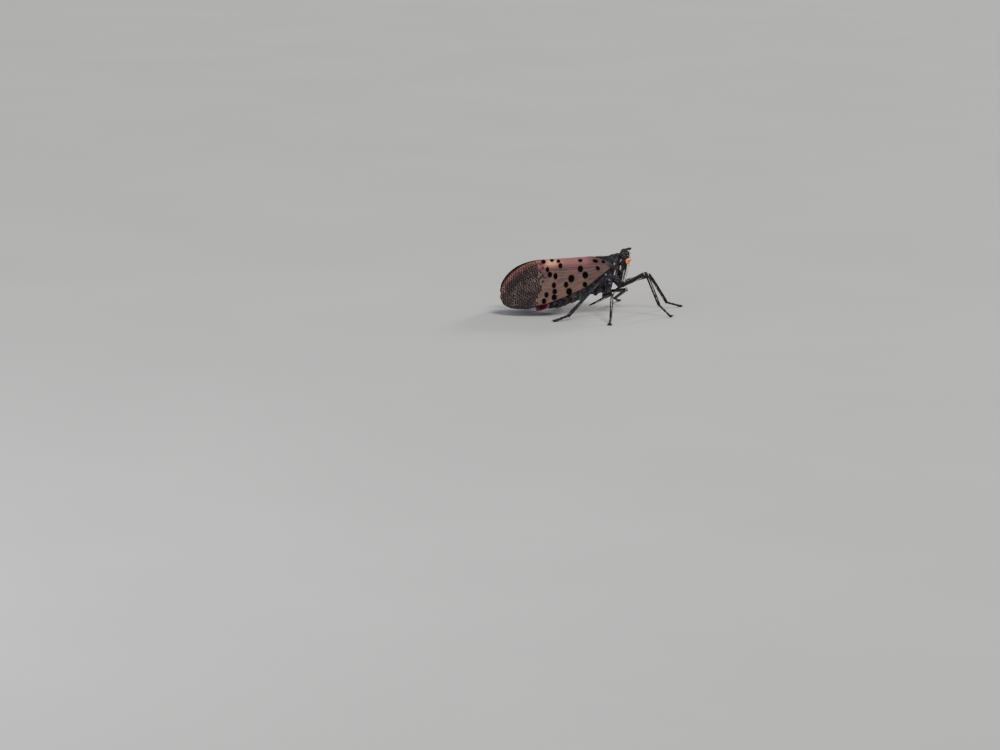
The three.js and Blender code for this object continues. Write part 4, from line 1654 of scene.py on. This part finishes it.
@dataclass
class Leg:
    """One leg from its hip to its claws under one skin, with spines, claws and fine bristles."""

    bench: Bench
    pair: Pair
    side: Side
    sizes: LegSizes
    stance: Stance
    coxa_stops: ClassVar[Rows] = ((-0.2, 0.5), (0.15, 0.7), (0.5, 0.67), (0.8, 0.5), (1.0, 0.38))
    voxel: float = 0.046
    spine_shares: ClassVar[Sequence[float]] = (0.32, 0.46, 0.6, 0.73, 0.85)
    spine_length: float = 0.55
    crown_spines: int = 5
    claw_length: float = 0.62
    claw_spread: float = 0.42
    toe_height: float = 0.22
    clearance: float = 0.004

    def __post_init__(self) -> None:
        """Works out the joints."""
        flip = np.array([1, self.side.value, 1])
        s = self.sizes
        self.root, self.hip = np.array(s.root) * flip, np.array(s.hip) * flip
        self.ankle = np.array(self.stance.ankle, float)
        way = self.ankle - self.hip
        reach = float(np.linalg.norm(way))
        way = way / reach
        share = (s.femur**2 - s.tibia**2 + reach**2) / (2 * reach)
        raised = np.array(self.stance.knee, float)
        up = unit(raised - raised.dot(way) * way)
        self.knee = self.hip + share * way + math.sqrt(max(0.0, s.femur**2 - share**2)) * up
        turn = math.radians(self.stance.toes)
        self.heading = np.array([math.cos(turn), self.side.value * math.sin(turn), 0.0])
        self.sideways = np.array([-self.heading[1], self.heading[0], 0.0])
        drop = self.ankle[2] - self.toe_height
        span = math.sqrt(s.tarsus**2 - drop**2)
        self.toe = self.ankle + (self.heading[0] * span, self.heading[1] * span, -drop)
        axis = unit(np.cross(self.knee - self.hip, self.ankle - self.knee))
        self.thigh = Limb(self.hip, self.knee, axis, s.femur_profile)
        self.shin = Limb(self.knee, self.ankle, axis, s.tibia_profile)

    def coxa(self) -> Shell:
        """The coxa, which belongs to the trunk's skin."""
        way = self.hip - self.root
        return tube([[*(self.root + share * way), radius] for share, radius in self.coxa_stops], 32, 40)

    def foot_shells(self) -> list[Shell]:
        """Three swelling joints and a pad.

        Returns:
            Their shells.
        """
        way = self.toe - self.ankle
        girth = self.sizes.girth
        made = []
        for first, last in ((-0.02, 0.35), (0.31, 0.63), (0.59, 1.0)):
            ends = self.ankle + first * way, self.ankle + last * way
            profile = ((0, 0.15, 0.15), (0.25, 0.19, 0.19), (0.8, 0.26, 0.24), (1, 0.2, 0.18))
            profile = [(t, a * girth, b * girth) for t, a, b in profile]
            made.append(Limb(*ends, self.sideways, profile, 1.1).shell(22, 22))
        pad = self.toe + 0.16 * self.heading
        pad[2] = 0.15
        for turn in (-1, 1):
            made.append(ellipsoid(pad + 0.15 * turn * self.sideways, (0.24, 0.24, 0.17)))
        return made

    def skin_shells(self) -> list[Shell]:
        """The overlapping shells that the leg's skin is drawn over.

        Returns:
            The shells.
        """
        into = unit(self.hip - self.root)
        out = unit(self.knee - self.hip)
        girth = self.sizes.girth
        hip = [*(self.hip - 0.3 * into), 0.34], [*self.hip, 0.36], [*(self.hip + 0.45 * out), 0.3]
        made = [tube(hip, 20, 16), self.thigh.shell(), self.shin.shell()]
        for turn in (-1, 1):
            centre = self.knee + 0.13 * turn * self.thigh.across
            made.append(ellipsoid(centre, (0.26 * girth, 0.26 * girth, 0.28 * girth)))
        made.append(ellipsoid(self.ankle, (0.27 * girth,) * 3))
        return [*made, *self.foot_shells()]

    def traces(self) -> list[Trace]:
        """Edges along the femur and tibia, and seams round the joints.

        Returns:
            The traces.
        """
        made = []
        for limb, edges in ((self.thigh, self.sizes.femur_edges), (self.shin, self.sizes.tibia_edges)):
            # Pale edges, which also carry painted rim highlights.
            for degrees, pale in edges:
                turn = 180 - degrees if self.side is Side.LEFT else degrees
                made.append(Trace(limb.edge(turn), 0.055, 0.045, pale))
            for degrees in (0, 90, 180):
                made.append(Trace(limb.edge(degrees, 0.12, 0.88), 0.1, -0.03))
        made.append(Trace(self.thigh.band(0.95, -40, 220), 0.09, 0.03, 0.85, 0.12))
        made.append(Trace(self.knee_ridge(), 0.16, 0.02, 0.95, 0.3))
        made.append(Trace(self.thigh.band(0.03, -180, 180), 0.08, -0.05, 0.0, 0.0))
        made.append(Trace(self.shin.band(0.06, -180, 180), 0.07, -0.05, 0.0, 0.0))
        made.append(Trace(self.shin.band(0.97, 20, 160), 0.08, 0.02, 0.5))
        return made

    def knee_ridge(self) -> np.ndarray:
        """A line over the outside of the knee, from the femur to the tibia.

        Returns:
            Its points.
        """
        ahead, back = unit(self.knee - self.hip), unit(self.knee - self.ankle)
        out, turn = unit(ahead + back), unit(ahead - back)
        angles = np.linspace(-1.5, 1.5, 24)[:, None]
        return self.knee + 0.3 * self.sizes.girth * (np.cos(angles) * out + np.sin(angles) * turn)

    def spines(self) -> list[Shell]:
        """Spines along the outer edge and round the end of a hind tibia.

        Returns:
            Their shells, or none on the other legs.
        """
        if self.pair is not Pair.HIND:
            return []
        way = unit(self.ankle - self.knee)
        length = float(np.linalg.norm(self.ankle - self.knee))
        out = unit(np.array([-0.25, self.side.value * 0.8, -0.35]) + 0.1 * way)
        leaning = unit(out + 0.75 * way)
        made = []

        def spine(root: np.ndarray, towards: np.ndarray, reach: float) -> Shell:
            """A sharp spine on a swollen root.

            Args:
                root: Where it stands.
                towards: Its direction.
                reach: Its length.

            Returns:
                Its shell.
            """
            shape = ((0, 0.16), (0.3, 0.12), (0.7, 0.07), (1, 0.012))
            stops = [[*(root + towards * reach * s), r] for s, r in shape]
            return tube(stops, 10, 14)

        for number, share in enumerate(self.spine_shares):
            root = self.knee + way * share * length
            made.append(spine(root, leaning, self.spine_length + 0.22 + 0.05 * number))
        turn = unit(np.cross(way, out))
        for angle in np.linspace(-1.35, 1.35, self.crown_spines):
            side = out * math.cos(angle) + turn * math.sin(angle)
            root = self.ankle - 0.32 * way + 0.16 * side
            made.append(spine(root, unit(0.5 * side + way), 0.5))
        return made

    def claws(self) -> list[Shell]:
        """Two curved claws at the toe.

        Returns:
            Their shells.
        """
        made = []
        for turn in (-1, 1):
            stops = []
            for ahead, apart, height, radius in (
                (-0.1, 0.25, 0.26, 0.1),
                (0.35, 0.6, 0.34, 0.095),
                (0.75, 0.9, 0.24, 0.065),
                (1.0, 1.0, 0.04, 0.018),
            ):
                at = self.toe + ahead * self.claw_length * self.heading
                at = at + turn * apart * self.claw_spread * self.sideways
                stops.append([at[0], at[1], height, radius])
            made.append(tube(stops, 12, 20))
        return made

    def lay(self, made: bpy.types.Object) -> None:
        """Stores the way that the bristles lean, towards the toes.

        Args:
            made: The leg's skin.
        """
        points = read_vectors(made.data.vertices, "co")
        joints = [self.hip, self.knee, self.ankle, self.toe]
        best = np.full(len(points), 99.0)
        lie = np.zeros_like(points)
        for a, b in zip(joints, joints[1:]):
            share = np.clip((points - a) @ (b - a) / (b - a).dot(b - a), 0, 1)
            gap = np.linalg.norm(points - a - share[:, None] * (b - a), axis=1)
            lie[gap < best] = unit(b - a)
            best = np.minimum(best, gap)
        store(made, "lie", lie)

    def set_down(self, made: bpy.types.Object) -> None:
        """Keeps the foot and its bristles on the floor.

        Args:
            made: The leg.
        """
        points = read_vectors(made.data.vertices, "co")
        points[:, 2] = np.maximum(points[:, 2], self.clearance)
        made.data.vertices.foreach_set("co", points.astype(np.float32).ravel())

    def build(self) -> None:
        """Makes and finishes the leg."""
        name = f"{self.pair.value}_leg_{self.side.word}"
        made = Skin(name, self.skin_shells(), self.traces(), self.voxel).build()
        self.lay(made)
        Bristles(density=9.0, length=0.26, radius=0.013, lean=1.1, seed=7).grow(made)
        hard = mesh_object(f"{name}_claws", joined([*self.spines(), *self.claws()]))
        store(hard, "pale", np.zeros(len(hard.data.vertices)))
        made = merged(name, [made, hard])
        self.set_down(made)
        made.data.shade_smooth()
        parts = ("femur", "tibia", "tarsus")
        nodes = [f"{part}_{self.pair.value}_{self.side.word}" for part in parts]
        self.bench.deliver(made, LegFinish(), "leg", nodes)


@dataclass
class Forewing:
    """A forewing: a thin sheet with raised veins, roofed over the back."""

    bench: Bench
    side: Side
    upper: ClassVar[Rows] = (
        (4.5, 2.45, 9.35),
        (2.5, 1.4, 10.05),
        (0.2, 0.2, 10.2),
        (-3.4, 0.16, 9.95),
        (-7.0, 0.18, 9.75),
        (-10.0, 0.35, 9.4),
        (-12.5, 1.0, 8.35),
        (-14.4, 1.7, 6.75),
        (-15.5, 2.45, 4.95),
        (-15.8, 2.95, 3.75),
    )
    lower: ClassVar[Rows] = (
        (4.3, 3.35, 8.75),
        (2.5, 4.35, 7.45),
        (0.2, 5.0, 5.75),
        (-3.0, 5.4, 4.25),
        (-6.4, 5.5, 2.85),
        (-9.2, 5.3, 1.9),
        (-11.8, 4.85, 1.42),
        (-13.8, 4.25, 1.5),
        (-15.1, 3.7, 2.0),
        (-15.65, 3.35, 2.75),
    )
    roof_out: ClassVar[float] = 0.74
    roof_down: ClassVar[float] = 0.3
    outside: ClassVar[float] = 0.25
    back_height: ClassVar[float] = 10.2
    tip: float = 0.13
    length: float = 22.0
    vein_height: float = 0.085
    pinch: float = 0.27
    thick: float = 0.13
    rows: int = 240
    columns: int = 130

    @classmethod
    def middle(cls, s: np.ndarray, t: np.ndarray) -> np.ndarray:
        """Points of the left wing's middle surface.

        Args:
            s: Shares of its length.
            t: Shares of its width, a row of them for each s.

        Returns:
            The points, as row by column by coordinate.
        """
        u, l = spline(cls.upper, s), spline(cls.lower, s)
        mixes = np.array([0.5, cls.roof_out, cls.roof_down])
        bend = u + (l - u) * mixes
        t = t[..., None]
        return (1 - t) ** 2 * u[:, None] + 2 * t * (1 - t) * bend[:, None] + t * t * l[:, None]

    @classmethod
    def normals(cls, grid: np.ndarray) -> np.ndarray:
        """Outward directions over a grid of the left wing, evened out at the wing's end.

        Args:
            grid: Points of the wing, as row by column by coordinate.

        Returns:
            One direction for each point.
        """
        made = unit(np.cross(np.gradient(grid, axis=1), np.gradient(grid, axis=0)))
        made = made * np.sign(made[:, :, 1:2])
        middle = made[:, grid.shape[1] // 2][:, None]
        end = smooth(0.86, 0.98, np.linspace(0, 1, len(made)))[:, None, None]
        return unit(made * (1 - end) + middle * end)

    @staticmethod
    def claval(s: np.ndarray) -> np.ndarray:
        """Where the vein behind the main part of the wing crosses it."""
        return 0.5 + (0.13 - 0.5) * smooth(0, 0.62, s)

    def veins(self, s: np.ndarray, down: np.ndarray, t: np.ndarray) -> np.ndarray:
        """How strongly each point is on a vein, from 0 to 1.

        Args:
            s: Shares of the wing's length.
            down: How far each point is from the upper edge.
            t: The share of the width of each point.

        Returns:
            The strengths.
        """
        chord = down[:, -1:]
        back = self.claval(s)[:, None]
        fade = smooth(0.03, 0.12, s)[:, None]
        strength = np.zeros_like(down)
        for share in (0.0, 0.2, 0.42, 0.64, 0.87):
            at = back + share * (1 - back)
            strength = np.maximum(strength, hump((t - at) * chord, 0.1) * fade)
        for share in (0.1, 0.31, 0.53, 0.75, 0.94):
            at = back + share * (1 - back)
            late = fade * smooth(0.2, 0.36, s)[:, None]
            strength = np.maximum(strength, 0.6 * hump((t - at) * chord, 0.06) * late)
        for share in (0.35, 0.7):
            strength = np.maximum(strength, 0.6 * hump((t - share * back) * chord, 0.06) * fade)
        return strength

    def build(self) -> None:
        """Makes and finishes the wing."""
        even = np.linspace(0, 1, self.rows)
        s = even * 0.9 + 0.1 * np.sin(even * math.pi / 2)
        columns = np.linspace(0, 1, self.columns)
        t = np.broadcast_to(columns, (self.rows, self.columns))
        grid = self.middle(s, t)
        grid[:, :, 0] -= self.tip * np.sin(math.pi * t) * smooth(0.9, 1.0, s)[:, None]
        normal = self.normals(grid)
        steps = np.linalg.norm(np.diff(grid + self.outside * normal, axis=1), axis=2)
        down = np.concatenate([np.zeros((self.rows, 1)), np.cumsum(steps, axis=1)], axis=1)
        u = grid[:, :, 0] + self.outside * normal[:, :, 0]
        v = self.back_height - spline(self.upper, s)[:, 2][:, None] + down

        vein = self.veins(s, down, t)
        raised = self.vein_height * vein * smooth(-9.6, -8.2, u)
        close = self.pinch * hump(t, 0.09) * smooth(0.12, 0.3, s)[:, None] * smooth(0.72, 0.55, s)[:, None]
        grid = grid - np.stack([0 * close, close, 0 * close], -1)
        to_end = self.length * (1 - s)[:, None]
        rim = np.minimum.reduce([down, down[:, -1:] - down, to_end + 0 * down])
        thick = self.thick * (0.35 + 0.65 * smooth(0, 0.25, rim))
        top = grid + (self.outside + raised - 0.04 * smooth(0.2, 0, rim))[:, :, None] * normal
        bottom = grid + (self.outside - thick + 0.4 * raised)[:, :, None] * normal
        made = mesh_object(f"tegmen_{self.side.word}", plate(top, bottom).on(self.side))
        flat = np.stack([u, v, np.minimum(down, to_end + 0.3)], -1).reshape(-1, 3)
        store(made, "flat", np.vstack([flat, flat]))
        for name, values in (("vein", vein), ("rim", rim)):
            store(made, name, np.tile(values.ravel(), 2))
        self.bench.deliver(made, ForewingFinish(), "forewing", [f"forewing_{self.side.word}"])


@dataclass
class Hindwing:
    """The folded hindwing under a forewing, pleated, with a strip below the forewing's edge."""

    bench: Bench
    side: Side
    inset: float = 0.78
    thick: float = 0.09
    pleats: int = 9
    pleat_depth: float = 0.09
    rows: int = 180
    columns: int = 90

    def build(self) -> None:
        """Makes and finishes the hindwing."""
        s = np.linspace(0.17, 0.9, self.rows)
        below = 0.1 * smooth(0.25, 0.45, s) * smooth(0.74, 0.52, s)
        top = 0.42 + 0.08 * s
        bottom = 0.97 + below - 0.25 * smooth(0.66, 0.9, s)
        share = np.linspace(0, 1, self.columns)
        t = top[:, None] + (bottom - top)[:, None] * share
        grid = Forewing.middle(s, t)
        normal = Forewing.normals(grid)
        fold = np.abs((share * self.pleats) % 1 - 0.5) * 2
        ripple = 0.02 * np.sin(np.arange(self.rows) * 0.5)[:, None]
        rise = self.pleat_depth * (fold - 0.5)[None, :] + ripple
        outer = grid + (rise - self.inset + 0.2)[:, :, None] * normal
        inner = outer - self.thick * normal
        made = mesh_object(f"fanwing_{self.side.word}", plate(outer, inner).on(self.side))
        depth = (bottom - top)[:, None] * share * 8.5
        flat = np.stack([grid[:, :, 0], depth, 0 * depth], -1).reshape(-1, 3)
        store(made, "flat", np.vstack([flat, flat]))
        store(made, "vein", np.tile(np.broadcast_to(hump(1 - fold, 0.2), depth.shape).ravel(), 2))
        self.bench.deliver(made, HindwingFinish(), "hindwing", [f"hindwing_{self.side.word}"])


@dataclass
class Studio:
    """A pale floor, soft lights and the camera at the photograph's viewing angle."""

    bench: Bench
    pitch: float = 11.4
    focal: float = 128.0
    sensor: float = 36.0
    distance: float = 658.0
    aim_right: float = 86.0
    aim_down: float = 63.0
    picture_width: float = 1000.0

    def floor(self) -> None:
        """A wide plane that isn't part of the insect."""
        half = 3000.0
        mesh = bpy.data.meshes.new("floor")
        corners = [(-half, -half, 0), (half, -half, 0), (half, half, 0), (-half, half, 0)]
        mesh.from_pydata([tuple(c * MM for c in corner) for corner in corners], [], [(0, 1, 2, 3)])
        mesh.materials.append(FloorFinish().material())
        made = bpy.data.objects.new("floor", mesh)
        bpy.context.scene.collection.objects.link(made)

    def light(
        self, name: str, kind: str, at: Sequence[float], soft: float, power: float, colour: Colour
    ) -> None:
        """Adds a soft light that looks at the insect.

        Args:
            name: Its name.
            kind: SUN for even light over the floor, or AREA.
            at: Where it hangs, in millimetres.
            soft: The sun's width in degrees, or the size of the area in millimetres.
            power: Its strength.
            colour: Its colour.
        """
        lamp = bpy.data.lights.new(name, kind)
        lamp.energy, lamp.color = power, colour
        if kind == "SUN":
            lamp.angle = math.radians(soft)
        else:
            lamp.size = soft * MM
        made = bpy.data.objects.new(name, lamp)
        made.location = self.bench.place(at)
        made.rotation_mode = "QUATERNION"
        aim = self.bench.place((0, 0, 6)) - made.location
        made.rotation_quaternion = aim.to_track_quat("-Z", "Y")
        bpy.context.scene.collection.objects.link(made)

    def lights(self) -> None:
        """A soft key from above the camera's right, a fill from its left and a rim light behind."""
        self.light("key", "SUN", (120, -150, 260), 24, 1.9, (1.0, 0.97, 0.92))
        self.light("fill", "AREA", (-180, -220, 90), 160, 0.25, (0.92, 0.96, 1.0))
        self.light("rim", "SUN", (150, 220, 110), 14, 1.6, (1.0, 0.98, 0.95))
        world = bpy.data.worlds.new("studio")
        world.use_nodes = True
        sky = next(n for n in world.node_tree.nodes if n.type == "BACKGROUND")
        sky.inputs["Color"].default_value = (0.9, 0.93, 1.0, 1.0)
        sky.inputs["Strength"].default_value = 0.35
        bpy.context.scene.world = world

    def camera(self) -> None:
        """The camera, whose pitch, distance and aim give the photograph's framing."""
        p = math.radians(self.pitch)
        ahead = Vector((0, math.cos(p), -math.sin(p)))
        up = Vector((0, math.sin(p), math.cos(p)))
        pixels = self.focal / self.sensor * self.picture_width
        offset = ahead + Vector((1, 0, 0)) * (self.aim_right / pixels) + up * (self.aim_down / pixels)
        lens = bpy.data.cameras.new("camera")
        lens.lens, lens.sensor_width = self.focal, self.sensor
        lens.clip_start, lens.clip_end = 0.01, 20.0
        made = bpy.data.objects.new("camera", lens)
        made.location = self.bench.place(offset * -self.distance)
        made.rotation_mode = "QUATERNION"
        made.rotation_quaternion = ahead.to_track_quat("-Z", "Y")
        bpy.context.scene.collection.objects.link(made)
        bpy.context.scene.camera = made

    def build(self) -> None:
        """Sets the whole studio."""
        self.floor()
        self.lights()
        self.camera()


FRONT = LegSizes(
    root=(5.1, 1.9, 7.1),
    hip=(6.2, 1.75, 5.1),
    femur=5.95,
    tibia=6.3,
    tarsus=2.9,
    femur_profile=((0, 0.25, 0.3), (0.1, 0.31, 0.42), (0.5, 0.3, 0.44), (0.9, 0.31, 0.46), (1, 0.24, 0.34)),
    tibia_profile=((0, 0.22, 0.28), (0.12, 0.25, 0.31), (0.85, 0.25, 0.29), (1, 0.27, 0.3)),
    femur_edges=((52, 0.5), (128, 0.6), (222, 0.95), (318, 0.6)),
    tibia_edges=((60, 0.4), (152, 1.0), (215, 0.4), (325, 0.6)),
)
MID = LegSizes(
    root=(4.2, 2.45, 5.7),
    hip=(3.2, 2.3, 3.4),
    femur=4.8,
    tibia=5.7,
    tarsus=2.4,
    femur_profile=((0, 0.25, 0.28), (0.1, 0.3, 0.38), (0.5, 0.29, 0.38), (0.9, 0.3, 0.41), (1, 0.24, 0.32)),
    tibia_profile=((0, 0.22, 0.26), (0.12, 0.25, 0.28), (0.85, 0.25, 0.26), (1, 0.27, 0.28)),
    femur_edges=((52, 0.5), (128, 0.9), (215, 0.5), (325, 0.5)),
    tibia_edges=((60, 0.5), (115, 1.0), (215, 0.3), (325, 0.4)),
)
HIND = LegSizes(
    root=(2.3, 2.2, 5.3),
    hip=(1.65, 2.15, 3.75),
    femur=5.9,
    tibia=10.1,
    tarsus=2.8,
    femur_profile=((0, 0.26, 0.3), (0.12, 0.33, 0.44), (0.5, 0.32, 0.45), (0.9, 0.33, 0.47), (1, 0.26, 0.36)),
    tibia_profile=((0, 0.24, 0.3), (0.12, 0.27, 0.32), (0.8, 0.3, 0.37), (0.95, 0.34, 0.4), (1, 0.3, 0.34)),
    femur_edges=((52, 0.5), (128, 0.7), (215, 0.6), (325, 0.4)),
    tibia_edges=((60, 0.4), (128, 0.3), (230, 1.0), (312, 0.5)),
    girth=1.12,
)
STANCES = {
    (Pair.FRONT, Side.RIGHT): Stance((13.3, -4.3, 2.1), 24, (0.26, -0.22, 0.95)),
    (Pair.FRONT, Side.LEFT): Stance((15.1, 4.0, 1.1), 25, (0.4, 0.06, 0.91)),
    (Pair.MID, Side.RIGHT): Stance((4.25, -11.2, 1.1), 96, (0.45, -0.3, 1)),
    (Pair.MID, Side.LEFT): Stance((5.6, 8.9, 1.0), 70, (0.9, -0.25, 0.3)),
    (Pair.HIND, Side.RIGHT): Stance((-3.4, -8.8, 0.95), 154, (0.3, -1, 0.9)),
    (Pair.HIND, Side.LEFT): Stance((-3.6, 7.5, 0.95), 165, (0.3, 1, 0.9)),
}


def main() -> None:
    """Builds the insect and its studio in order."""
    logging.basicConfig(level=logging.INFO, format="%(name)s %(message)s")
    bench = Bench.from_frame(Eye.centre)
    sizes = {Pair.FRONT: FRONT, Pair.MID: MID, Pair.HIND: HIND}
    legs = [Leg(bench, pair, side, sizes[pair], stance) for (pair, side), stance in STANCES.items()]
    Trunk(bench).build([leg.coxa() for leg in legs])
    Beak(bench).build()
    for side in Side:
        Eye(bench, side).build()
        Antenna(bench, side).build()
        Forewing(bench, side).build()
        Hindwing(bench, side).build()
    for leg in legs:
        leg.build()
    Studio(bench).build()


if __name__ == "__main__":
    main()
